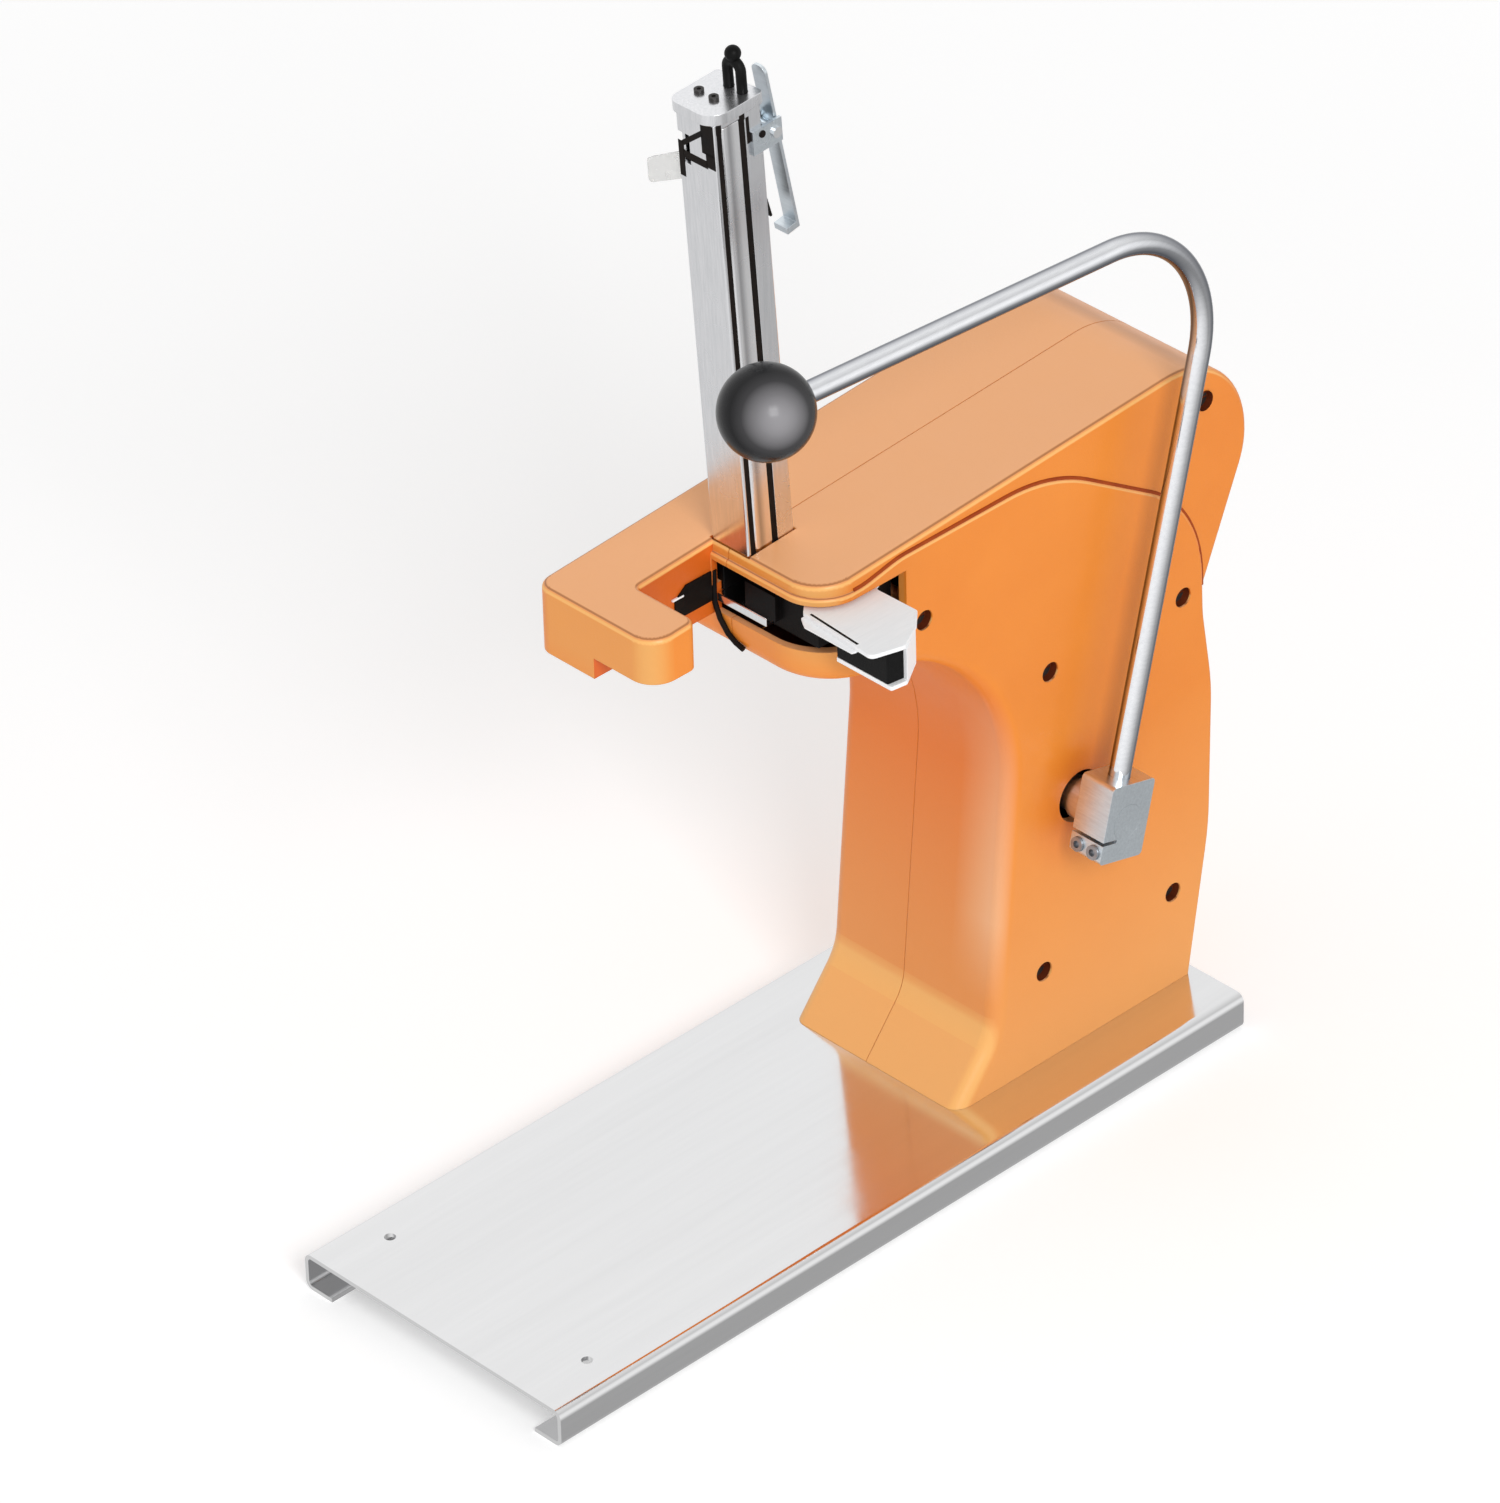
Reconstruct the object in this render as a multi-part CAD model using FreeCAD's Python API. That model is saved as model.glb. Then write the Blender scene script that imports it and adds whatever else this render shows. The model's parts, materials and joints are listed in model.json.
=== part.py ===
import FreeCAD, Part
import math
import os

# Bag neck sealer: a folded steel base carries a hollow column and a C-shaped arm.
# Pulling the ball handle swings a crank inside the column, and the crank drives a
# ram along the arm, under the clip magazine and against the anvil in the nose.
# Millimetres. X to the right, Y to the back, Z up. Lengths are first measured from a
# point on the base 200 behind its front edge; every solid is moved when it is saved.

# base plate: a folded channel
base_front = -200.0
base_length = 405.0
base_width = 156.0
base_height = 18.0
base_sheet = 2.0
base_bend = 4.0
lip_width = 16.0
bench_hole_spacing = 120.0
bench_hole_from_front = 32.0
bench_hole_r = 2.5

# height of the track that the ram slides in; the arm's heights follow from it
track_top = 301.0

# housing
body_width = 100.0
hood_width = 97.0
seam_x = -5.0
seam_gap = 0.3
wall = 3.0
column_front = 58.0
column_back = 199.5
column_waist = 80.5
column_bulge = 15.0
underside_drop = 43.5
scoop_radius = 88.0
arm_front = -15.7
lip_front = -13.5
front_underside_drop = 36.0
arm_over_track = 14.3
arm_rise_deg = 3.5
arm_corner_radius = 20.0
lip_corner_radius = 30.0
hood_back = 237.0
hood_corner_radius = 46.0
hood_back_height = 43.3
notch_y = 208.0
notch_drop = 93.0
shoulder_front_over_track = 8.4
shoulder_over_track = 12.3
shoulder_y = 207.5
shoulder_slope = 0.63
panel_round = 1.8
hood_round = 2.6
scoop_round = 7.0
shaft_hole_r = 12.2
gap_below_track = 21.0
gap_above_track = 5.0
gap_side = 33.0

# nose in front of the slot for the bag neck
nose_front = -82.0
nose_depth = 25.5
nose_right = 21.0
nose_drop = 22.0
finger_drop = 12.0
bar_right = -14.0
nose_left_radius = 8.0
nose_right_radius = 12.0

# screws through the sides of the housing, as (y, z); in the arm z is from the track's top
column_screws = [(196, 215), (116, 216), (190, 66), (111, 65)]
arm_screws = [(43, -24), (210, 5)]
screw_bore_r = 4.6
screw_seat_depth = 6.0
screw_head_r = 3.6
screw_head_height = 2.4
screw_shank_r = 1.95
screw_clearance = 0.2
boss_r = 7.0
boss_gap = 0.3

# steel frame inside the column
plate_thickness = 3.0
plate_inner_right = 20.0
plate_inner_left = -30.0
frame_front = 104.0
frame_back = 196.0
frame_knee_drop = 101.0
frame_knee_reach = 38.0
frame_back_reach = 22.0
plate_underside_drop = 29.0
plate_knee_drop = 30.0
plate_back_rise = 13.0
plate_back_drop = 39.0
flange_width = 22.0
foot_bolt_y = [122.0, 178.0]
foot_bolt_r = 3.0
foot_bolt_clearance = 0.3
foot_head_r = 5.0
foot_head_height = 4.0
foot_nut_height = 5.0
spacer_r = 6.0
column_spacers = [(114, 40), (190, 110)]
arm_spacer = (202, -51)
frame_screw_r = 2.4
frame_screw_head_r = 4.2
frame_screw_head_height = 2.6
frame_screw_length = 12.0

# drive shaft and crank
shaft_y = 133.0
crank_pin_drop = 19.19
shaft_r = 8.0
shaft_clearance = 0.05
bush_r = 11.0
bush_flange_r = 14.0
bush_flange = 2.0
press_gap = 0.02
swing_deg = 28.0
crank_throw = 141.0
crank_thickness = 8.0
crank_hub_r = 16.0
crank_end_r = 10.0
crank_gap = 1.0
crank_pin_r = 3.5
roller_r = 6.0
roller_clearance = 0.08
yoke_clearance = 0.4
yoke_cheek = 5.0
yoke_depth = 14.0
tail_length = 38.0
tail_r = 7.0
spring_pin_r = 2.5
spring_r = 7.0
spring_wire = 1.6
spring_turns = 14
anchor_height = 45.0

# handle
block_length = 18.0
block_width = 26.0
block_height = 36.0
hub_r = 9.5
hub_length = 9.0
rod_r = 4.75
rod_lean_deg = 14.3
rod_corner_reach = 281.0
rod_bend_radius = 58.0
rod_run = 263.6
rod_rise_deg = 3.55
rod_seat_depth = 7.5
ball_r = 20.0
ball_flat_r = 7.0
ball_bore_depth = 14.0
clamp_slit = 1.6
clamp_screw_r = 3.2

# ram and its track
ram_width = 14.0
ram_height = 10.0
ram_drop = 12.0
ram_front = 15.0
ram_tip_length = 10.0
ram_tail = 9.0
slide_gap = 0.3
track_floor_thickness = 4.0
track_front = -12.4
floor_front = -13.4
floor_right = 15.5
track_back = 80.0
track_wing_right = 42.0
track_wing_back = 32.0
track_cover_thickness = 2.0

# anvil in the nose
anvil_face = -54.0
anvil_height = 12.0
anvil_pad_height = 11.0

# clip magazine
mag_width = 22.0
mag_depth = 26.0
mag_wall = 1.8
mag_height = 208.0
mag_sink = 11.0
mag_window = 15.2
mag_window_front = 1.4
mag_window_drop = 3.0
mag_rail_width = 9.6
mag_rail_thickness = 3.0
mag_rail_round = 2.2
mag_cutout_gap = 0.5
cap_thickness = 5.0
cap_overhang = 2.0
cap_screw_r = 1.2
cap_screw_spacing = 8.4
clip_stack = 120.0
clip_leg = 13.0
clip_wall = 1.8
follower_height = 14.0
follower_travel = 45.0
latch_width = 7.6
latch_sheet = 1.5
latch_length = 82.0
latch_pivot_height = 191.0
latch_tilt_deg = 8.0
latch_travel_deg = 9.0
flag_height = 174.0
flag_length = 21.0
loop_wire = 4.4
loop_height = 13.0

# trim lever at the side of the arm
lever_sheet = 2.0
lever_over_track = 1.3
lever_pivot_x = 30.0
lever_pivot_y = 20.0
lever_pin_r = 3.0
lever_pin_clearance = 0.06
lever_travel_deg = 15.0
lever_spring_r = 4.4
lever_spring_wire = 0.9
grip_height = 15.0
grip_left = 54.5
grip_right = 87.0
grip_taper = 15.0
grip_front = -11.5
grip_back = 12.0
blade_width = 7.0
blade_thickness = 1.0

# worked out from the values above
underside_height = track_top - underside_drop
arm_front_underside = track_top - front_underside_drop
arm_top = track_top + arm_over_track
shoulder_front_height = track_top + shoulder_front_over_track
shoulder_height = track_top + shoulder_over_track
notch_height = track_top - notch_drop
gap_floor = track_top - gap_below_track
gap_roof = track_top + gap_above_track
nose_underside = track_top - nose_drop
finger_underside = track_top - finger_drop
ram_bottom = track_top - ram_drop
lever_bottom = track_top + lever_over_track
side_screws = column_screws + [(y, track_top + z) for y, z in arm_screws]
spacer_places = column_spacers + [(arm_spacer[0], track_top + arm_spacer[1])]
half_width = body_width / 2
half_hood = hood_width / 2
rise = math.tan(math.radians(arm_rise_deg))
sink = 10.0
foot_z = base_height - sink
shaft_out = half_width + hub_length + block_length + 1.0
block_x0 = shaft_out - block_length
rod_x = block_x0 + block_length / 2
plate_right = (plate_inner_right, plate_inner_right + plate_thickness)
plate_left = (plate_inner_left - plate_thickness, plate_inner_left)
half_swing = math.radians(swing_deg / 2)
shaft_z = track_top - crank_pin_drop - crank_throw * math.cos(half_swing)
ram_right = seam_x + ram_width / 2
ram_left = seam_x - ram_width / 2
ram_top = ram_bottom + ram_height
ram_stroke = 2 * crank_throw * math.sin(half_swing)
pin_y = shaft_y + crank_throw * math.sin(half_swing)
pin_z = shaft_z + crank_throw * math.cos(half_swing)
track_bottom = ram_bottom - slide_gap
mag_front = arm_front + 2.7
mag_mid = mag_front + mag_depth / 2
mag_left = seam_x - mag_width / 2
mag_right = seam_x + mag_width / 2
mag_y0 = mag_front
mag_y1 = mag_front + mag_depth
lever_top = lever_bottom + lever_sheet
huge = 500.0


def top_at(y):
    """Height of the arm's sloping top at a given y."""
    return arm_top + rise * y


# ---------------------------------------------------------------- shapes
def box(x0, x1, y0, y1, z0, z1):
    corner = FreeCAD.Vector(min(x0, x1), min(y0, y1), min(z0, z1))
    return Part.makeBox(abs(x1 - x0), abs(y1 - y0), abs(z1 - z0), corner)


def rod_along_x(r, x0, x1, y, z):
    start = FreeCAD.Vector(x0, y, z)
    return Part.makeCylinder(r, x1 - x0, start, FreeCAD.Vector(1, 0, 0))


def rod_along_y(r, y0, y1, x, z):
    start = FreeCAD.Vector(x, y0, z)
    return Part.makeCylinder(r, y1 - y0, start, FreeCAD.Vector(0, 1, 0))


def rod_along_z(r, z0, z1, x, y):
    return Part.makeCylinder(r, z1 - z0, FreeCAD.Vector(x, y, z0))


def hexagon(r, z0, z1, x, y):
    points = []
    for step in range(7):
        angle = math.radians(60 * step)
        points.append(FreeCAD.Vector(x + r * math.cos(angle), y + r * math.sin(angle), z0))
    return Part.Face(Part.makePolygon(points)).extrude(FreeCAD.Vector(0, 0, z1 - z0))


def rounded_wire(points, place):
    """Closed outline of (a, b) or (a, b, radius) corners; place puts it in space."""
    count = len(points)
    starts = []
    middles = []
    ends = []
    for i, point in enumerate(points):
        corner = FreeCAD.Vector(point[0], point[1], 0)
        radius = point[2] if len(point) > 2 else 0
        before = points[i - 1]
        after = points[(i + 1) % count]
        to_before = (FreeCAD.Vector(before[0], before[1], 0) - corner).normalize()
        to_after = (FreeCAD.Vector(after[0], after[1], 0) - corner).normalize()
        if radius == 0:
            starts.append(corner)
            middles.append(None)
            ends.append(corner)
            continue
        half = to_before.getAngle(to_after) / 2
        reach = radius / math.tan(half)
        inward = (to_before + to_after).normalize()
        centre = corner + inward * (radius / math.sin(half))
        starts.append(corner + to_before * reach)
        middles.append(centre - inward * radius)
        ends.append(corner + to_after * reach)
    edges = []
    for i in range(count):
        if middles[i] is not None:
            arc = Part.Arc(place(starts[i]), place(middles[i]), place(ends[i]))
            edges.append(arc.toShape())
        following = starts[(i + 1) % count]
        if (following - ends[i]).Length > 1e-6:
            edges.append(Part.LineSegment(place(ends[i]), place(following)).toShape())
    return Part.Wire(edges)


def prism_x(points, x0, x1, inset=0):
    """Outline in Y and Z, pushed along X."""
    wire = rounded_wire(points, lambda p: FreeCAD.Vector(x0, p.x, p.y))
    if inset:
        wire = wire.makeOffset2D(-inset)
    return Part.Face(wire).extrude(FreeCAD.Vector(x1 - x0, 0, 0))


def prism_y(points, y0, y1, inset=0):
    """Outline in X and Z, pushed along Y."""
    wire = rounded_wire(points, lambda p: FreeCAD.Vector(p.x, y0, p.y))
    if inset:
        wire = wire.makeOffset2D(-inset)
    return Part.Face(wire).extrude(FreeCAD.Vector(0, y1 - y0, 0))


def prism_z(points, z0, z1, inset=0):
    """Outline in X and Y, pushed along Z."""
    wire = rounded_wire(points, lambda p: FreeCAD.Vector(p.x, p.y, z0))
    if inset:
        wire = wire.makeOffset2D(-inset)
    return Part.Face(wire).extrude(FreeCAD.Vector(0, 0, z1 - z0))


def sharp_edges(shape, keep):
    """Edges where two faces meet at an angle, of those whose box passes keep."""
    found = []
    for edge in shape.Edges:
        faces = shape.ancestorsOfType(edge, Part.Face)
        if len(faces) < 2 or not keep(edge.BoundBox):
            continue
        point = edge.valueAt((edge.FirstParameter + edge.LastParameter) / 2)
        normals = []
        for face in faces[:2]:
            u, v = face.Surface.parameter(point)
            normals.append(face.normalAt(u, v))
        if math.degrees(normals[0].getAngle(normals[1])) > 8:
            found.append(edge)
    return found


def turned(shape, y, z, degrees):
    """The shape turned about the line along X through (y, z)."""
    copy = shape.copy()
    copy.rotate(FreeCAD.Vector(0, y, z), FreeCAD.Vector(1, 0, 0), degrees)
    return copy


def joined(shapes):
    first = shapes[0]
    if len(shapes) == 1:
        return first
    return first.fuse(shapes[1:]).removeSplitter()


def coil(radius, wire_d, z0, z1, turns, x, y):
    """Round wire wound along Z."""
    height = z1 - z0 - wire_d
    helix = Part.makeHelix(height / turns, height, radius)
    start = FreeCAD.Vector(radius, 0, 0)
    circle = Part.makeCircle(wire_d / 2, start, FreeCAD.Vector(0, 1, 0))
    wound = Part.Wire(helix.Edges).makePipeShell([Part.Wire(circle)], True, True)
    wound.translate(FreeCAD.Vector(x, y, z0 + wire_d / 2))
    return wound


# ---------------------------------------------------------------- base
def base_plate():
    half = base_width / 2
    outline = [(-half, 0, base_bend), (half, 0, base_bend)]
    outline += [(half, base_height, base_bend), (-half, base_height, base_bend)]
    front = base_front
    back = base_front + base_length
    plate = prism_y(outline, front, back)
    plate = plate.cut(prism_y(outline, front, back, base_sheet))
    open_half = half - lip_width
    plate = plate.cut(box(-open_half, open_half, front, back, -1, base_sheet + 1))
    for side in (-1, 1):
        x = side * bench_hole_spacing / 2
        y = front + bench_hole_from_front
        plate = plate.cut(rod_along_z(bench_hole_r, 0, base_height + 1, x, y))
    for x, y in foot_bolt_places():
        hole = rod_along_z(foot_bolt_r + foot_bolt_clearance, base_sheet, base_height + 1, x, y)
        plate = plate.cut(hole)
    return plate


def foot_bolt_places():
    places = []
    for y in foot_bolt_y:
        places.append((plate_left[0] + flange_width * 0.6, y))
        places.append((plate_right[1] - flange_width * 0.6, y))
    return places


def foot_bolts():
    """Hexagon heads on the frame's feet."""
    bolts = []
    seat = base_height + plate_thickness
    end = base_height - base_sheet - foot_nut_height - 1
    for x, y in foot_bolt_places():
        head = hexagon(foot_head_r, seat, seat + foot_head_height, x, y)
        bolts.append(head.fuse(rod_along_z(foot_bolt_r, end, seat, x, y)).removeSplitter())
    return Part.makeCompound(bolts)


def foot_nuts():
    nuts = []
    top = base_height - base_sheet
    for x, y in foot_bolt_places():
        nut = hexagon(foot_head_r, top - foot_nut_height, top, x, y)
        bore = rod_along_z(foot_bolt_r + press_gap, 0, base_height, x, y)
        nuts.append(nut.cut(bore))
    return Part.makeCompound(nuts)


# ---------------------------------------------------------------- housing
def column_outline():
    """Side view of the raised panel: the column and the arm below the shoulder."""
    fall = shoulder_y - 118.0
    points = [(column_front - 9.0, foot_z)]
    points.append((column_waist, base_height + 28.0, 25.0))
    points.append((column_waist + 19.8, underside_height, scoop_radius))
    points.append((arm_front, arm_front_underside))
    points.append((arm_front, shoulder_front_height))
    points.append((10.0, shoulder_front_height, 40.0))
    points.append((30.0, shoulder_height, 40.0))
    points.append((shoulder_y - fall, shoulder_height, 90.0))
    points.append((shoulder_y, shoulder_height - shoulder_slope * fall, 66.0))
    points.append((shoulder_y + 1.5, notch_height - 7.0, 60.0))
    return points + column_back_outline()


def column_back_outline():
    return [(column_back + column_bulge, notch_height - 45.0, 120.0),
            (column_back + column_bulge - 1.5, base_height + 72.0, 150.0),
            (column_back - 0.7, foot_z)]


def hood_outline():
    """Side view of the narrower upper body, down to a line inside the column."""
    front = arm_front + (body_width - hood_width) / 2
    return [(front, shoulder_front_height - 20.0),
            (front, top_at(front)),
            (hood_back, top_at(hood_back), hood_corner_radius),
            (hood_back - 1.0, arm_top - hood_back_height, 40.0),
            (notch_y, notch_height, 7.0),
            (notch_y - 30.0, notch_height - 5.0)]


def body_outline():
    """Side view of the whole body behind the slot."""
    points = column_outline()[:4]
    points.append((arm_front, top_at(arm_front)))
    return points + hood_outline()[2:5] + column_back_outline()


def body_plan(half, front, corner):
    return [(-half, huge), (-half, front), (half, front, corner), (half, huge)]


def nose_plan():
    inner = nose_front + nose_depth
    return [(-half_hood, 60), (-half_hood, nose_front, nose_left_radius),
            (nose_right, nose_front, nose_right_radius), (nose_right, inner, 5.0),
            (bar_right, inner, 2.0), (bar_right, 60)]


def under_top(drop=0):
    """Everything below the arm's sloping top."""
    low = -huge
    points = [(low, low), (huge, low), (huge, top_at(huge) - drop), (low, top_at(low) - drop)]
    return prism_x(points, -huge, huge)


def nose_solid(inset=0):
    """The left bar and the finger across the end of the slot."""
    solid = prism_z(nose_plan(), nose_underside + inset, arm_top + 40, inset)
    step = box(bar_right - inset, huge, -huge, arm_front - 1, 0, finger_underside + inset)
    return solid.cut(step).common(under_top(inset))


def panel_column(front, corner):
    """Column with its rounded panel edge, for one front and corner radius."""
    column = prism_x(column_outline(), -half_width, half_width)
    column = column.common(prism_z(body_plan(half_width, front, corner), 0, huge))
    column = column.makeFillet(scoop_round, sharp_edges(column, is_scoop))
    return column.makeFillet(panel_round, sharp_edges(column, is_panel_edge))


def is_scoop(bounds):
    in_front = bounds.YMax < column_waist + 25 and bounds.ZMax < arm_front_underside + 3
    return in_front and bounds.ZMax > foot_z + 1


def is_panel_edge(bounds):
    upright_front = bounds.YMax < arm_front + 5 and bounds.ZMax - bounds.ZMin > 20
    return bounds.ZMin > notch_height - 12 and not is_scoop(bounds) and not upright_front


def hood_and_nose():
    body = prism_x(hood_outline(), -half_hood, half_hood)
    inset = (body_width - hood_width) / 2
    plan = body_plan(half_hood, arm_front + inset, arm_corner_radius - inset)
    body = body.common(prism_z(plan, 0, huge))
    body = joined([body, nose_solid()])
    return body.makeFillet(hood_round, sharp_edges(body, is_rim))


def is_rim(bounds):
    top = bounds.ZMax > arm_top - 3 and bounds.ZMin > arm_top - 12
    behind = bounds.YMin > notch_y - 3 and bounds.ZMin > notch_height - 1
    return top or behind


def gap_middle():
    return (gap_floor + gap_roof) / 2


def outer_body():
    upper = panel_column(arm_front, arm_corner_radius)
    upper = upper.common(box(-huge, huge, -huge, huge, gap_middle(), huge))
    lower = panel_column(lip_front, lip_corner_radius)
    lower = lower.common(box(-huge, huge, -huge, huge, base_height, gap_middle()))
    column = joined([upper, lower])
    return joined([column, hood_and_nose()])


def inner_column(front, corner):
    half = half_hood - wall
    inner = prism_x(body_outline(), -half, half, wall)
    return inner.common(prism_z(body_plan(half, front + wall, corner - wall), 0, huge))


def cavity():
    upper = inner_column(arm_front, arm_corner_radius)
    upper = upper.common(box(-huge, huge, -huge, huge, gap_middle(), huge))
    lower = inner_column(lip_front, lip_corner_radius)
    lower = lower.common(box(-huge, huge, -huge, huge, 0, gap_middle()))
    return joined([upper, lower, nose_solid(wall)])


def gap_cut():
    """The opening round the front right corner that the lever comes out of."""
    return box(bar_right + 0.5, huge, arm_front - 0.5, gap_side, gap_floor, gap_roof)


def nose_window():
    inner = nose_front + nose_depth
    clear = 1.0
    return box(ram_left - clear, ram_right + clear, inner - wall - 1, inner + 1,
               finger_underside - 1, finger_underside + anvil_pad_height + 2 * clear)


def magazine_cutout():
    gap = mag_cutout_gap
    hole = box(mag_left - gap, mag_right + gap, mag_y0 - gap, mag_y1 + gap, gap_roof - 8, huge)
    return lean(hole)


def side_bosses(side):
    """Tubes from the side wall to the frame plate."""
    tubes = []
    if side > 0:
        reach = plate_right[1] + boss_gap
        for y, z in side_screws:
            tubes.append(rod_along_x(boss_r, reach, half_hood - wall / 2, y, z))
    else:
        reach = plate_left[0] - boss_gap
        for y, z in side_screws:
            tubes.append(rod_along_x(boss_r, -half_hood + wall / 2, reach, y, z))
    return tubes


def side_screw_holes(side):
    holes = []
    seat = half_width - screw_seat_depth
    for y, z in side_screws:
        if side > 0:
            bore = rod_along_x(screw_bore_r, seat, half_width + 1, y, z)
            shank = rod_along_x(screw_shank_r + screw_clearance, 0, seat + 1, y, z)
        else:
            bore = rod_along_x(screw_bore_r, -half_width - 1, -seat, y, z)
            shank = rod_along_x(screw_shank_r + screw_clearance, -seat - 1, 0, y, z)
        holes.append(bore.fuse(shank))
    return holes


def housing_shell():
    shell = outer_body().cut(cavity())
    shell = shell.cut([gap_cut(), nose_window(), magazine_cutout()])
    return shell


def housing_left(shell):
    half = shell.common(box(-huge, seam_x, -huge, huge, 0, huge))
    finger = shell.common(box(-huge, huge, -huge, arm_front - 8, 0, huge))
    half = half.fuse(finger).removeSplitter()
    half = half.fuse(side_bosses(-1)).removeSplitter()
    return half.cut(side_screw_holes(-1))


def housing_right(shell):
    half = shell.common(box(seam_x + seam_gap, huge, arm_front - 5, huge, 0, huge))
    half = half.fuse(side_bosses(1)).removeSplitter()
    hole = rod_along_x(shaft_hole_r, plate_right[1], huge, shaft_y, shaft_z)
    return half.cut(side_screw_holes(1) + [hole])


def side_screw_set(side):
    """Pan-head screws that hold one housing half to the frame."""
    screws = []
    seat = half_width - screw_seat_depth
    for y, z in side_screws:
        if side > 0:
            head = rod_along_x(screw_head_r, seat, seat + screw_head_height, y, z)
            slot = box(seat + screw_head_height - 1, huge, y - screw_head_r, y + screw_head_r,
                       z - 0.5, z + 0.5)
            shank = rod_along_x(screw_shank_r, plate_right[0] - 1, seat, y, z)
        else:
            head = rod_along_x(screw_head_r, -seat - screw_head_height, -seat, y, z)
            slot = box(-huge, -seat - screw_head_height + 1, y - screw_head_r,
                       y + screw_head_r, z - 0.5, z + 0.5)
            shank = rod_along_x(screw_shank_r, -seat, plate_left[1] + 1, y, z)
        screws.append(head.fuse(shank).removeSplitter().cut(slot))
    return Part.makeCompound(screws)


# ---------------------------------------------------------------- frame
def frame_outline(front_points):
    knee = frame_front - frame_knee_reach
    back = frame_back + frame_back_reach
    points = [(frame_front, base_height), (frame_front, track_top - frame_knee_drop, 6.0)]
    points.append((knee, track_top - plate_knee_drop, 10.0))
    points += front_points
    points += [(back, track_top + plate_back_rise, 8.0), (back - 2.0, track_top - plate_back_drop, 8.0)]
    points.append((frame_back + 4.0, notch_height - 2.0, 8.0))
    points.append((frame_back, base_height))
    return points


def frame_plate(x0, x1, front_points, flange_x0, flange_x1):
    plate = prism_x(frame_outline(front_points), x0, x1)
    seat = base_height + plate_thickness
    foot = box(flange_x0, flange_x1, frame_front, frame_back, base_height, seat)
    plate = plate.fuse(foot).removeSplitter()
    holes = [rod_along_x(bush_r + press_gap, x0 - 1, x1 + 1, shaft_y, shaft_z)]
    for y, z in side_screws:
        holes.append(rod_along_x(screw_shank_r + press_gap, x0 - 1, x1 + 1, y, z))
    for y, z in spacer_places:
        holes.append(rod_along_x(frame_screw_r + press_gap, x0 - 1, x1 + 1, y, z))
    for x, y in foot_bolt_places():
        hole = rod_along_z(foot_bolt_r + foot_bolt_clearance, 0, seat + 1, x, y)
        holes.append(hole)
    anchor_r = spring_pin_r + press_gap
    holes.append(rod_along_x(anchor_r, x0 - 1, x1 + 1, tail_hole()[0], anchor_height))
    return plate.cut(holes)


def frame_plate_right():
    front = track_wing_back + 4.0
    points = [(front, track_top - plate_underside_drop, 4.0), (front, track_top + 4.0, 4.0)]
    x0, x1 = plate_right
    plate = frame_plate(x0, x1, points, x1 - flange_width, x1)
    return plate.cut(track_screw_rods(1, press_gap))


def frame_plate_left():
    nose_end = nose_front + wall + 2.0
    low = nose_underside + wall + 2.5
    inside = arm_front + wall + 4.0
    points = [(inside, track_top - plate_underside_drop, 4.0), (inside, low, 3.0)]
    points.append((nose_end, low, 2.0))
    points += [(nose_end, track_top + 3.0, 2.0), (20.0, track_top + 5.0, 10.0)]
    x0, x1 = plate_left
    plate = frame_plate(x0, x1, points, x0, x0 + flange_width)
    return plate.cut(track_screw_rods(-1, press_gap) + anvil_screw_rods(press_gap))


def frame_spacers():
    tubes = []
    for y, z in spacer_places:
        tube = rod_along_x(spacer_r, plate_left[1], plate_right[0], y, z)
        bore = rod_along_x(frame_screw_r + press_gap, plate_left[1] - 1, plate_right[0] + 1, y, z)
        tubes.append(tube.cut(bore))
    return Part.makeCompound(tubes)


def cap_screw_x(r, head_r, head_height, length, x, y, z, side):
    """Socket screw along X whose head stands on the side given by side."""
    if side > 0:
        head = rod_along_x(head_r, x, x + head_height, y, z)
        shank = rod_along_x(r, x - length, x, y, z)
        socket = rod_along_x(r * 0.8, x + head_height * 0.4, x + head_height + 1, y, z)
    else:
        head = rod_along_x(head_r, x - head_height, x, y, z)
        shank = rod_along_x(r, x, x + length, y, z)
        socket = rod_along_x(r * 0.8, x - head_height - 1, x - head_height * 0.4, y, z)
    return head.fuse(shank).removeSplitter().cut(socket)


def frame_screws():
    screws = []
    for y, z in spacer_places:
        for side, x in ((1, plate_right[1]), (-1, plate_left[0])):
            screws.append(cap_screw_x(frame_screw_r, frame_screw_head_r,
                                      frame_screw_head_height, frame_screw_length, x, y, z, side))
    return Part.makeCompound(screws)


def shaft_bush(x0, x1, outward):
    bush = rod_along_x(bush_r, x0, x1, shaft_y, shaft_z)
    if outward > 0:
        flange = rod_along_x(bush_flange_r, x1, x1 + bush_flange, shaft_y, shaft_z)
    else:
        flange = rod_along_x(bush_flange_r, x0 - bush_flange, x0, shaft_y, shaft_z)
    bore = rod_along_x(shaft_r + shaft_clearance, x0 - 10, x1 + 10, shaft_y, shaft_z)
    return bush.fuse(flange).removeSplitter().cut(bore)


def spring_anchor():
    """Pin between the frame plates that holds the lower end of the spring."""
    y = tail_hole()[0]
    return rod_along_x(spring_pin_r, plate_left[0], plate_right[1], y, anchor_height)


# ---------------------------------------------------------------- handle
def drive_shaft():
    left_end = plate_left[0] - bush_flange - 4.0
    shaft = rod_along_x(shaft_r, left_end, shaft_out, shaft_y, shaft_z)
    groove_x = plate_left[0] - bush_flange - slide_gap - 1.2
    ring_room = rod_along_x(shaft_r + 1, groove_x, groove_x + 1.2, shaft_y, shaft_z)
    ring_room = ring_room.cut(rod_along_x(shaft_r - 1, groove_x, groove_x + 1.2, shaft_y, shaft_z))
    shaft = shaft.cut(ring_room)
    return shaft


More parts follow.
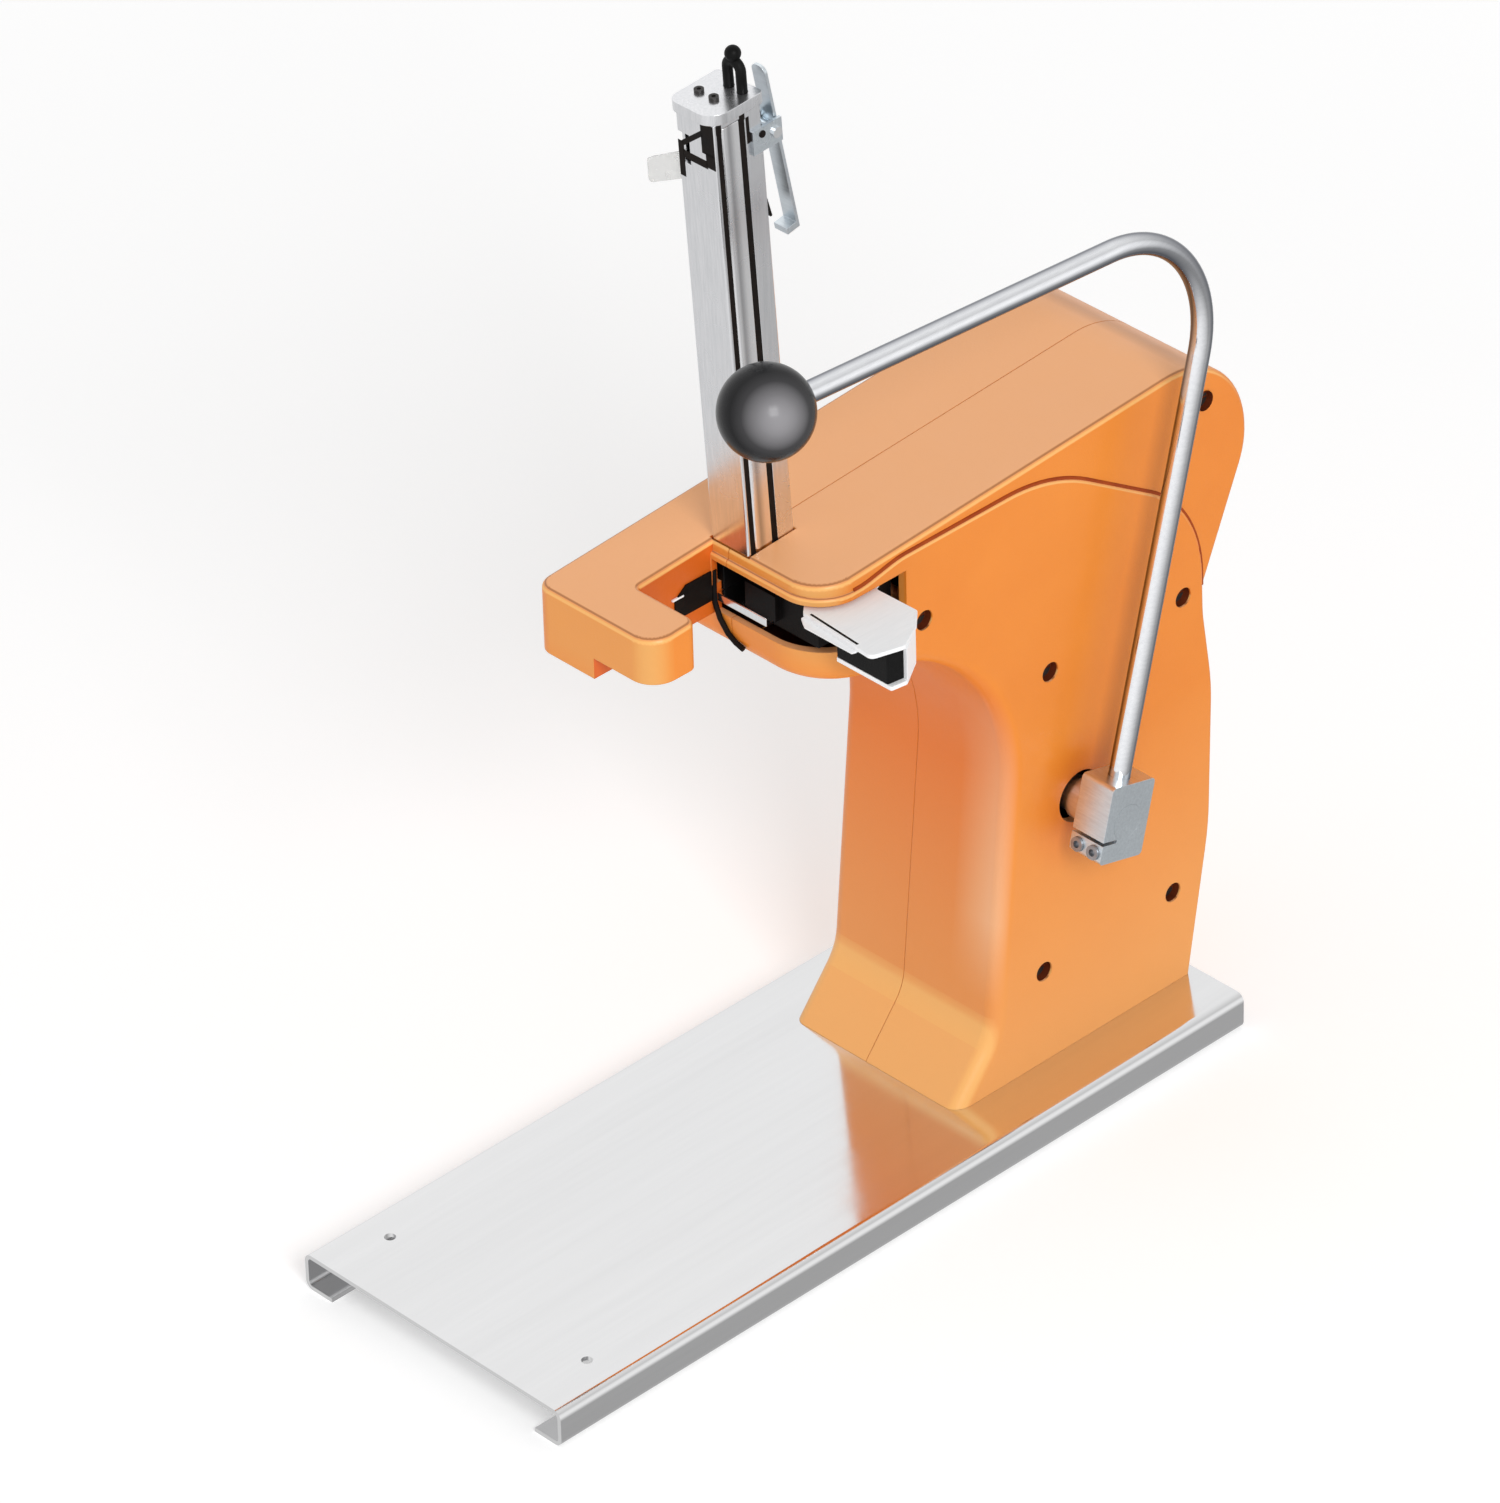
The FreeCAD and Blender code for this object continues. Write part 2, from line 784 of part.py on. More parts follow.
def shaft_ring():
    """Snap ring in the groove at the shaft's left end."""
    groove_x = plate_left[0] - bush_flange - slide_gap - 1.2
    ring = rod_along_x(shaft_r + 3, groove_x + 0.1, groove_x + 1.1, shaft_y, shaft_z)
    ring = ring.cut(rod_along_x(shaft_r - 0.9, groove_x, groove_x + 1.2, shaft_y, shaft_z))
    mouth = box(groove_x - 1, groove_x + 2, shaft_y - 3, shaft_y + 3, shaft_z, shaft_z + 20)
    return ring.cut(mouth)


def block_frame(shape):
    """From an upright block on the shaft to its leaning place."""
    return turned(shape, shaft_y, shaft_z, -rod_lean_deg)


def clamp_block():
    half_w = block_width / 2
    half_h = block_height / 2
    outline = [(shaft_y - half_w, shaft_z - half_h, 2.0), (shaft_y + half_w, shaft_z - half_h, 2.0)]
    outline += [(shaft_y + half_w, shaft_z + half_h, 2.0), (shaft_y - half_w, shaft_z + half_h, 2.0)]
    block = prism_x(outline, block_x0, shaft_out)
    hub = rod_along_x(hub_r, block_x0 - hub_length, block_x0, shaft_y, shaft_z)
    block = block.fuse(hub).removeSplitter()
    seat = shaft_z + half_h - rod_seat_depth
    cuts = [rod_along_x(shaft_r + press_gap, 0, huge, shaft_y, shaft_z)]
    cuts.append(rod_along_z(rod_r + press_gap, seat, huge, rod_x, shaft_y))
    slit_z = shaft_z - half_h * 0.5
    cuts.append(box(block_x0 - 1, huge, shaft_y - half_w - 1, shaft_y - half_w * 0.35,
                    slit_z, slit_z + clamp_slit))
    for x in clamp_screw_x():
        z = slit_z - clamp_screw_r - 1.2
        cuts.append(rod_along_y(clamp_screw_r + 0.05, shaft_y - huge, shaft_y - half_w + 3, x, z))
        cuts.append(rod_along_y(clamp_screw_r * 0.6, shaft_y - half_w, shaft_y + 6, x, z))
    return block_frame(block.cut(cuts))


def clamp_screw_x():
    quarter = block_length / 4
    return [block_x0 + quarter, shaft_out - quarter]


def clamp_screws():
    screws = []
    half_w = block_width / 2
    z = shaft_z - block_height / 4 - clamp_screw_r - 1.2
    seat = shaft_y - half_w + 3
    for x in clamp_screw_x():
        head = rod_along_y(clamp_screw_r, seat - 4.2, seat, x, z)
        socket = rod_along_y(clamp_screw_r * 0.5, seat - 5, seat - 2.2, x, z)
        shank = rod_along_y(clamp_screw_r * 0.6 - press_gap, seat, shaft_y + 5, x, z)
        screws.append(head.fuse(shank).removeSplitter().cut(socket))
    return block_frame(Part.makeCompound(screws))


def rod_points():
    """Seat, corner and ball centre of the handle rod, as (y, z)."""
    lean_angle = math.radians(rod_lean_deg)
    along = (math.sin(lean_angle), math.cos(lean_angle))
    seat_reach = block_height / 2 - rod_seat_depth
    seat = (shaft_y + along[0] * seat_reach, shaft_z + along[1] * seat_reach)
    corner = (shaft_y + along[0] * rod_corner_reach, shaft_z + along[1] * rod_corner_reach)
    climb = math.radians(rod_rise_deg)
    ball = (corner[0] - rod_run * math.cos(climb), corner[1] + rod_run * math.sin(climb))
    return seat, corner, ball


def handle_rod():
    seat, corner, ball = rod_points()
    start = FreeCAD.Vector(rod_x, seat[0], seat[1])
    turn = FreeCAD.Vector(rod_x, corner[0], corner[1])
    stop = FreeCAD.Vector(rod_x, ball[0], ball[1])
    back = (start - turn).normalize()
    ahead = (stop - turn).normalize()
    stop = stop - ahead * (ball_r - ball_bore_depth + 0.5)
    half = back.getAngle(ahead) / 2
    reach = rod_bend_radius / math.tan(half)
    inward = (back + ahead).normalize()
    middle = turn + inward * (rod_bend_radius / math.sin(half) - rod_bend_radius)
    bend_start = turn + back * reach
    bend_end = turn + ahead * reach
    path = Part.Wire([Part.LineSegment(start, bend_start).toShape(),
                      Part.Arc(bend_start, middle, bend_end).toShape(),
                      Part.LineSegment(bend_end, stop).toShape()])
    section = Part.Wire(Part.makeCircle(rod_r, start, turn - start))
    return path.makePipeShell([section], True, True)


def ball_knob():
    corner = rod_points()[1]
    ball = rod_points()[2]
    centre = FreeCAD.Vector(rod_x, ball[0], ball[1])
    axis = (FreeCAD.Vector(rod_x, corner[0], corner[1]) - centre).normalize()
    knob = Part.makeSphere(ball_r, centre)
    flat = math.sqrt(ball_r ** 2 - ball_flat_r ** 2)
    knob = knob.cut(Part.makeCylinder(ball_r, ball_r, centre + axis * flat, axis))
    bore_end = centre + axis * (ball_r - ball_bore_depth)
    return knob.cut(Part.makeCylinder(rod_r + press_gap, ball_r, bore_end, axis))


def crank_frame(shape):
    """From an upright crank to its place at rest."""
    return turned(shape, shaft_y, shaft_z, -swing_deg / 2)


def crank_x():
    right = ram_left - crank_gap
    return right - crank_thickness, right


def crank_arm():
    x0, x1 = crank_x()
    top = shaft_z + crank_throw
    web = [(shaft_y - crank_hub_r * 0.92, shaft_z), (shaft_y + crank_hub_r * 0.92, shaft_z)]
    web += [(shaft_y + crank_end_r * 0.95, top), (shaft_y - crank_end_r * 0.95, top)]
    tail_end = shaft_y + tail_length
    tail = [(shaft_y, shaft_z - crank_hub_r * 0.9), (tail_end, shaft_z - tail_r * 0.95)]
    tail += [(tail_end, shaft_z + tail_r * 0.95), (shaft_y, shaft_z + crank_hub_r * 0.9)]
    parts = [rod_along_x(crank_hub_r, x0 - 4, x1 + 4, shaft_y, shaft_z)]
    parts.append(prism_x(web, x0, x1))
    parts.append(rod_along_x(crank_end_r, x0, x1, shaft_y, top))
    parts.append(prism_x(tail, x0, x1))
    parts.append(rod_along_x(tail_r, x0, x1, tail_end, shaft_z))
    arm = joined(parts)
    cuts = [rod_along_x(shaft_r + press_gap, x0 - 9, x1 + 9, shaft_y, shaft_z)]
    cuts.append(rod_along_x(crank_pin_r + press_gap, x0 - 1, x1 + 1, shaft_y, top))
    cuts.append(rod_along_x(spring_pin_r + press_gap, x0 - 1, x1 + 1, tail_end, shaft_z))
    lightening = crank_end_r * 0.55
    for share in (0.4, 0.62, 0.82):
        z = shaft_z + crank_throw * share
        cuts.append(rod_along_x(lightening * (1.25 - share * 0.4), x0 - 1, x1 + 1, shaft_y, z))
    return crank_frame(arm.cut(cuts))


def crank_pin():
    x0 = crank_x()[0]
    top = shaft_z + crank_throw
    return crank_frame(rod_along_x(crank_pin_r, x0, ram_right - 1.5, shaft_y, top))


def crank_roller():
    top = shaft_z + crank_throw
    roller = rod_along_x(roller_r, ram_left + 0.5, ram_right - 2.0, shaft_y, top)
    bore = rod_along_x(crank_pin_r + roller_clearance, ram_left, ram_right, shaft_y, top)
    return crank_frame(roller.cut(bore))


def spring_pin():
    """Pin in the crank's tail for the upper end of the spring."""
    x0 = crank_x()[0]
    return crank_frame(rod_along_x(spring_pin_r, x0, seam_x + 3, shaft_y + tail_length, shaft_z))


def tail_hole():
    """Place of the tail's pin at rest, as (y, z)."""
    return (shaft_y + tail_length * math.cos(half_swing),
            shaft_z - tail_length * math.sin(half_swing))


def return_spring():
    """Extension spring: closed coil with a plug and an eye at each end."""
    y, top = tail_hole()
    bottom = anchor_height
    eye_r = spring_pin_r + 2 * spring_wire
    coil_top = top - eye_r - 3
    coil_bottom = bottom + eye_r + 3
    parts = [coil(spring_r - spring_wire / 2, spring_wire, coil_bottom, coil_top,
                  spring_turns, seam_x, y)]
    for z, end, sign in ((top, coil_top, -1), (bottom, coil_bottom, 1)):
        eye = rod_along_x(eye_r, seam_x - spring_wire / 2, seam_x + spring_wire / 2, y, z)
        eye = eye.cut(rod_along_x(spring_pin_r + slide_gap, seam_x - 5, seam_x + 5, y, z))
        start = z + sign * (eye_r - 0.4)
        finish = end + sign * 1.0
        neck = rod_along_z(spring_wire / 2, min(start, finish), max(start, finish), seam_x, y)
        low = min(end, end + sign * spring_wire * 1.5)
        plug = rod_along_z(spring_r + 0.1, low, low + spring_wire * 1.5, seam_x, y)
        parts.append(joined([eye, neck, plug]))
    return parts[0].fuse(parts[1:])


# ---------------------------------------------------------------- ram
def ram_bar():
    back = pin_y + roller_r + yoke_clearance + yoke_cheek
    bar = box(ram_left, ram_right, ram_front + ram_tip_length, back, ram_bottom, ram_top)
    cheek_bottom = ram_bottom - yoke_depth
    front_cheek = pin_y - roller_r - yoke_clearance - yoke_cheek
    yoke = box(ram_left, ram_right, front_cheek, back, cheek_bottom, ram_bottom)
    bar = bar.fuse(yoke).removeSplitter()
    slot_top = shaft_z + crank_throw + roller_r + yoke_clearance
    slot = box(ram_left - 1, ram_right + 1, pin_y - roller_r - yoke_clearance,
               pin_y + roller_r + yoke_clearance, cheek_bottom - 1, slot_top)
    return bar.cut(slot)


def ram_tip():
    """Hardened end with a groove that cups the clip."""
    tip = box(ram_left, ram_right, ram_front, ram_front + ram_tip_length, ram_bottom, ram_top)
    groove = rod_along_z(ram_width * 0.3, ram_bottom - 1, ram_top + 1, seam_x, ram_front - 1)
    return tip.cut(groove)


def track_left():
    front = lip_front + wall + slide_gap
    block = box(plate_left[1], ram_left - slide_gap, front, track_back, track_bottom, track_top)
    return block.cut(track_screw_rods(-1, press_gap))


def track_right():
    """Right side of the track with the wing that carries the trim lever."""
    block = box(ram_right + slide_gap, plate_right[0], track_front, track_back,
                track_bottom, track_top)
    wing = box(floor_right + slide_gap, track_wing_right, track_front + 3, track_wing_back,
               track_bottom - track_floor_thickness, track_top)
    block = block.fuse(wing).removeSplitter()
    pin = rod_along_z(lever_pin_r + press_gap, 0, huge, lever_pivot_x, lever_pivot_y)
    well = rod_along_z(6.2, track_top - 6.5, track_top + 1, lever_pivot_x, lever_pivot_y)
    return block.cut(track_screw_rods(1, press_gap) + [pin, well])


def track_floor():
    """Bright plate under the ram, with a lip in front of the blocks."""
    low = track_bottom - track_floor_thickness
    front = lip_front + wall + slide_gap
    floor = box(plate_left[1], floor_right, front, track_back, low, track_bottom)
    lip = box(bar_right + 1.0, floor_right, floor_front, front, low, track_bottom)
    return floor.fuse(lip).removeSplitter()


def track_cover():
    return box(plate_left[1], plate_right[0], mag_y1 + 3, track_back,
               track_top, track_top + track_cover_thickness)


def track_screw_places(side):
    mid = (track_bottom + track_top) / 2
    if side > 0:
        return [(50.0, mid), (70.0, mid)]
    return [(6.0, mid), (60.0, mid)]


def track_screw_rods(side, clearance):
    rods = []
    r = frame_screw_r + clearance
    for y, z in track_screw_places(side):
        if side > 0:
            rods.append(rod_along_x(r, plate_right[0] - 8, plate_right[1] + 1, y, z))
        else:
            rods.append(rod_along_x(r, plate_left[0] - 1, plate_left[1] + 8, y, z))
    return rods


def track_screws():
    screws = []
    for side, x in ((1, plate_right[1]), (-1, plate_left[0])):
        for y, z in track_screw_places(side):
            screws.append(cap_screw_x(frame_screw_r, frame_screw_head_r,
                                      frame_screw_head_height, plate_thickness + 7.5,
                                      x, y, z, side))
    return Part.makeCompound(screws)


# ---------------------------------------------------------------- anvil
def anvil():
    """Bar across the nose with a pad that the clip is closed on."""
    back = nose_front + nose_depth - wall - 0.5
    front = nose_front + wall + 1.0
    low = finger_underside + wall + 0.6
    pad_low = finger_underside + 1.0
    pad_top = pad_low + anvil_pad_height
    bar = box(plate_left[1], nose_right - wall - 5.5, front, back, low, low + anvil_height)
    neck = box(ram_left, ram_right, back - 2, anvil_face, low, pad_top)
    lower = box(ram_left, ram_right, back + 0.1, anvil_face, pad_low, low)
    groove = rod_along_z(ram_width * 0.28, pad_low - 1, pad_top + 1, seam_x, anvil_face + 1.2)
    return joined([bar, neck, lower]).cut([groove] + anvil_screw_rods(press_gap))


def anvil_screw_places():
    z = finger_underside + wall + 0.6 + anvil_height / 2
    middle = nose_front + nose_depth / 2
    return [(middle - 5, z), (middle + 5, z)]


def anvil_screw_rods(clearance):
    rods = []
    for y, z in anvil_screw_places():
        r = frame_screw_r + clearance
        rods.append(rod_along_x(r, plate_left[0] - 1, plate_left[1] + 9, y, z))
    return rods


def anvil_screws():
    screws = []
    for y, z in anvil_screw_places():
        screws.append(cap_screw_x(frame_screw_r, frame_screw_head_r, frame_screw_head_height,
                                  plate_thickness + 8.5, plate_left[0], y, z, -1))
    return Part.makeCompound(screws)


# ---------------------------------------------------------------- magazine
def lean(shape):
    """From an upright magazine to one square to the arm's top."""
    return turned(shape, mag_mid, arm_top, arm_rise_deg)


def mag_bottom():
    return arm_top - mag_sink


def magazine_channel():
    top = arm_top + mag_height
    tube = box(mag_left, mag_right, mag_y0, mag_y1, mag_bottom(), top)
    edges = sharp_edges(tube, lambda b: b.ZMax - b.ZMin > 50)
    tube = tube.makeFillet(1.2, edges)
    tube = tube.cut(box(mag_left + mag_wall, mag_right - mag_wall, mag_y0 + mag_wall,
                        mag_y1 - mag_wall, 0, huge * 2))
    window_y = mag_y0 + mag_window_front
    tube = tube.cut(box(mag_right - mag_wall - 1, mag_right + 1, window_y, window_y + mag_window,
                        0, top - mag_window_drop))
    notch = box(mag_left - 1, mag_left + 7, mag_y0 - 1, mag_y0 + mag_wall + 1, top - 24, top - 10)
    return lean(tube.cut(notch))


def rail_y():
    return mag_y0 + mag_window_front + (mag_window - mag_rail_width) / 2


def magazine_rail():
    top = arm_top + mag_height
    right = mag_right - 0.3
    y = rail_y()
    rail = box(right - mag_rail_thickness, right, y, y + mag_rail_width,
               mag_bottom() + 1, top - mag_window_drop - 0.5)
    edges = sharp_edges(rail, lambda b: b.XMin > right - 0.1 and b.YMax < y + 0.1)
    return lean(rail.makeFillet(mag_rail_round, edges))


def magazine_cap():
    top = arm_top + mag_height
    out = cap_overhang
    plan = [(mag_left - out, mag_y1 + 0.2, 2.0), (mag_left - out, mag_y0 - out, 5.0)]
    plan += [(mag_right + out, mag_y0 - out, 9.0), (mag_right + out, mag_y1 + 0.2, 2.0)]
    cap = prism_z(plan, top, top + cap_thickness)
    plug = box(mag_left + mag_wall + 0.3, mag_right - mag_wall - mag_rail_thickness,
               mag_y0 + mag_wall + 0.3, mag_y1 - mag_wall - 0.3, top - 8, top)
    cap = cap.fuse(plug).removeSplitter()
    for x, y in cap_screw_places():
        r = cap_screw_r + press_gap
        cap = cap.cut(rod_along_z(r, top - 5, top + cap_thickness + 1, x, y))
    for x in loop_legs():
        r = loop_wire / 2 + press_gap
        cap = cap.cut(rod_along_z(r, top - 3, top + cap_thickness + 1, x, loop_y()))
    return lean(cap)


def cap_screw_places():
    y = mag_y0 + 9.5
    return [(mag_left + 4.6, y), (mag_left + 4.6 + cap_screw_spacing, y)]


def cap_screws():
    screws = []
    seat = arm_top + mag_height + cap_thickness
    for x, y in cap_screw_places():
        head = rod_along_z(2.1, seat, seat + 1.4, x, y)
        socket = rod_along_z(0.9, seat + 0.6, seat + 3, x, y)
        shank = rod_along_z(cap_screw_r, seat - cap_thickness - 4.5, seat, x, y)
        screws.append(head.fuse(shank).removeSplitter().cut(socket))
    return lean(Part.makeCompound(screws))


def loop_legs():
    return [seam_x - 0.8, seam_x + 6.8]


def loop_y():
    return mag_y1 - 5.5


def top_loop():
    """Wire loop on the cap for lifting a fresh stick in."""
    seat = arm_top + mag_height + cap_thickness
    left, right = loop_legs()
    mid = (left + right) / 2
    height = loop_height
    start = FreeCAD.Vector(left, loop_y(), seat - 7.5)
    left_top = FreeCAD.Vector(left, loop_y(), seat + height - (right - left) / 2)
    peak = FreeCAD.Vector(mid, loop_y(), seat + height)
    right_top = FreeCAD.Vector(right, loop_y(), seat + height - (right - left) / 2)
    stop = FreeCAD.Vector(right, loop_y(), seat - 7.5)
    path = Part.Wire([Part.LineSegment(start, left_top).toShape(),
                      Part.Arc(left_top, peak, right_top).toShape(),
                      Part.LineSegment(right_top, stop).toShape()])
    section = Part.Wire(Part.makeCircle(loop_wire / 2, start, FreeCAD.Vector(0, 0, 1)))
    loop = path.makePipeShell([section], True, True)
    knob = Part.makeSphere(3.4, FreeCAD.Vector(mid, loop_y(), seat + height + 3.4))
    return lean(loop.fuse(knob).removeSplitter())


def magazine_foot():
    """Angle behind the magazine that screws it to the track cover."""
    floor = track_top + track_cover_thickness
    leg_y = mag_y1 + 3.0
    leg = box(mag_left + 3, mag_right - 3, leg_y, leg_y + 2.5, floor, floor + 8.0)
    tab = box(mag_left + 3, mag_right - 3, leg_y, leg_y + 20.0, floor, floor + 2.5)
    foot = leg.fuse(tab).removeSplitter()
    for y in foot_screw_y():
        foot = foot.cut(rod_along_z(2.0 + press_gap, floor - 1, floor + 4, seam_x, y))
    return foot


def foot_screw_y():
    return [mag_y1 + 10.0, mag_y1 + 18.0]


def magazine_foot_screws():
    screws = []
    seat = track_top + track_cover_thickness + 2.5
    for y in foot_screw_y():
        head = rod_along_z(3.4, seat, seat + 2.0, seam_x, y)
        shank = rod_along_z(2.0, seat - 2.5, seat, seam_x, y)
        screws.append(head.fuse(shank).removeSplitter())
    return Part.makeCompound(screws)


def clip_stick():
    """Stack of U-shaped clips, one on another."""
    left = mag_left + mag_wall + 0.3
    right = mag_right - mag_rail_thickness - 0.6
    y0 = mag_y0 + mag_wall + 3.0
    z0 = track_top + 0.8
    stick = box(left, right, y0, y0 + clip_leg, z0, z0 + clip_stack)
    hollow = box(left + clip_wall, right - clip_wall, y0 - 1, y0 + clip_leg - clip_wall,
                 z0 - 1, z0 + clip_stack + 1)
    stick = lean(stick.cut(hollow))
    return stick.cut(box(-huge, huge, -huge, huge, 0, track_top + slide_gap))


def follower():
    """Weight that presses the stick down."""
    left = mag_left + mag_wall + 0.4
    right = mag_right - mag_rail_thickness - 0.7
    y0 = mag_y0 + mag_wall + 0.6
    y1 = mag_y1 - mag_wall - 0.6
    z0 = track_top + 0.8 + clip_stack + 0.3
    weight = box(left, right, y0, y1, z0, z0 + follower_height)
    edges = sharp_edges(weight, lambda b: b.ZMax - b.ZMin > 5)
    return lean(weight.makeFillet(1.0, edges))


def latch_y():
    return mag_y1 + 5.5


def latch_z():
    return arm_top + latch_pivot_height


def latch_x():
    right = mag_right - 0.3
    return right - latch_width, right


def latch_bracket():
    """Two ears behind the magazine that carry the latch's pin."""
    x0, x1 = latch_x()
    z0 = latch_z() - 5.5
    z1 = latch_z() + 5.5
    right_ear = box(x1 + 0.3, x1 + 0.3 + latch_sheet, mag_y1 - 7, mag_y1 + 9, z0, z1)
    left_ear = box(x0 - 0.3 - latch_sheet, x0 - 0.3, mag_y1, mag_y1 + 9, z0, z1)
    web = box(x0 - 0.3, x1 + 0.3, mag_y1, mag_y1 + 1.2, z0, z1)
    bracket = joined([right_ear, left_ear, web])
    pin = rod_along_x(1.5 + press_gap, x0 - 9, x1 + 9, latch_y(), latch_z())
    keep = box(-huge, mag_right + 0.02, -huge, mag_y1 - 0.01, 0, huge * 2)
    return lean(bracket.cut([pin, keep]))


def latch_pin():
    x0, x1 = latch_x()
    pin = rod_along_x(1.5, x0 - 2.4, x1 + 2.4, latch_y(), latch_z())
    head = rod_along_x(2.4, x1 + 0.3 + latch_sheet, x1 + 3.0, latch_y(), latch_z())
    return lean(pin.fuse(head).removeSplitter())


def latch_lever():
    """Strap with a hooked lower end and a finger tab above the cap."""
    x0, x1 = latch_x()
    up = 30.0
    y = latch_y()
    z = latch_z()
    down = latch_length - up
    strap = box(x0, x1, y + 1.9, y + 1.9 + latch_sheet, z - down, z + up)
    edges = sharp_edges(strap, lambda b: b.ZMin > z + up - 1 and b.XMax - b.XMin < 1)
    strap = strap.makeFillet(latch_width * 0.42, edges)
    knuckle = rod_along_x(2.6, x0, x1, y, z)
    hook = box(x0, x1, y - 3.5, y + 2.0, z - down, z - down + 3.0)
    lever = joined([strap, knuckle, hook])
    lever = lever.cut(rod_along_x(1.5 + shaft_clearance, x0 - 1, x1 + 1, y, z))
    tilted = turned(lever, y, z, latch_tilt_deg)
    return lean(tilted)


def refill_flag():
    """Thin clear tab at the side that shows when the stick runs low."""
    z0 = arm_top + flag_height
    flag = prism_y([(mag_left - flag_length, z0 - 11, 1.5), (mag_left, z0), (mag_left, z0 + 13),
                    (mag_left - flag_length, z0 + 1, 3.0)], mag_y0 + 1.5, mag_y0 + 2.5)
    tab = box(mag_left - 1.2, mag_left, mag_y0 + 2.5, mag_y0 + 12, z0, z0 + 12)
    return lean(flag.fuse(tab).removeSplitter())


# ---------------------------------------------------------------- trim lever
def lever_plan():
    return [(23.0, 4.0, 6.0), (23.0, 29.0, 6.0), (43.0, 29.0, 6.0), (48.0, 17.0, 4.0),
            (72.0, 17.5, 2.0), (79.0, 10.0, 1.0), (86.5, -4.0, 3.0), (82.0, -19.0, 3.0),
            (40.0, -16.0, 3.0)]


def grip_plan(inset):
    """Outline of the folded end; inset only draws in its outer end."""
    right = grip_right - inset
    return [(grip_left, grip_front), (right - 1.2, grip_front, 1.0),
            (right, grip_front + 8.0, 2.0), (right - 8.5, grip_back - 2.0, 1.0),
            (right - grip_taper, grip_back), (grip_left, grip_back)]


def trim_lever():
    """Plate that is folded down and back under the black grip."""
    plate = prism_z(lever_plan(), lever_bottom, lever_top)
    low = lever_bottom - grip_height
    under = prism_z(grip_plan(0), low - lever_sheet, low)
    fold = prism_z(grip_plan(0), low - lever_sheet, lever_bottom)
    inner = prism_z(grip_plan(lever_sheet), 0, huge)
    fold = fold.cut(inner).common(box(70, huge, grip_front + 8.0, grip_back, 0, huge))
    lever = joined([plate, under, fold])
    hole = rod_along_z(lever_pin_r + lever_pin_clearance, lever_bottom - 1, lever_top + 1,
                       lever_pivot_x, lever_pivot_y)
    return lever.cut([hole] + blade_screw_rods(press_gap))


def lever_grip():
    low = lever_bottom - grip_height
    return prism_z(grip_plan(lever_sheet), low, lever_bottom)


def trim_blade():
    """Knife strip under the front edge of the lever."""
    front = -21.0
    low = lever_bottom - blade_thickness
    points = [(40.0, front + 4.0), (46.0, front), (73.0, front)]
    points += [(73.0, front + blade_width + 1.5), (40.0, front + blade_width + 1.5)]
    blade = prism_z(points, low, lever_bottom)
    bevel = prism_x([(front - 1, low - 1), (front + 2.2, low - 1), (front + 2.2, low),
                     (front - 1, low + blade_thickness * 0.9)], 30, 90)
    return blade.cut([bevel] + blade_screw_rods(press_gap))


def blade_screw_x():
    return [47.0, 67.0]


def blade_screw_rods(clearance):
    rods = []
    for x in blade_screw_x():
        r = 1.2 + clearance
        rods.append(rod_along_z(r, lever_bottom - 3, lever_top + 1, x, -14.8))
    return rods


def blade_screws():
    screws = []
    for x in blade_screw_x():
        y = -14.8
        shank = rod_along_z(1.2, lever_bottom - blade_thickness - 0.6, lever_top, x, y)
        head = rod_along_z(2.2, lever_top, lever_top + 0.9, x, y)
        slot = box(x - 3, x + 3, y - 0.3, y + 0.3, lever_top + 0.4, lever_top + 2)
        screws.append(shank.fuse(head).removeSplitter().cut(slot))
    return Part.makeCompound(screws)


def lever_pin():
    bottom = track_bottom - track_floor_thickness
    pin = rod_along_z(lever_pin_r, bottom, lever_top + slide_gap, lever_pivot_x, lever_pivot_y)
    head = rod_along_z(lever_pin_r + 2.5, lever_top + slide_gap, lever_top + slide_gap + 1.6,
                       lever_pivot_x, lever_pivot_y)
    return pin.fuse(head).removeSplitter()


def lever_spring():
    """Coil round the pin, with its end turns closed into flat rings."""
    low = track_top - 6.3
    high = track_top + 0.9
    wire = lever_spring_wire
    parts = [coil(lever_spring_r, wire, low, high, 4, lever_pivot_x, lever_pivot_y)]
    for z in (low, high - wire * 1.2):
        ring = rod_along_z(lever_spring_r + wire * 0.6, z, z + wire * 1.2,
                           lever_pivot_x, lever_pivot_y)
        bore = rod_along_z(lever_spring_r - wire * 0.6, z - 1, z + 3,
                           lever_pivot_x, lever_pivot_y)
        parts.append(ring.cut(bore))
    return parts[0].fuse(parts[1:])


# ---------------------------------------------------------------- save
def origin_shift():
    """Middle of the footprint of the whole device at rest."""
    right = rod_x + ball_r
    left = -base_width / 2
    return FreeCAD.Vector(-(left + right) / 2, -(base_front + hood_back - 0.9) / 2, 0)


def save(name, shape):
    moved = shape.copy()
    moved.translate(origin_shift())
    moved.exportStep("parts/" + name + ".step")


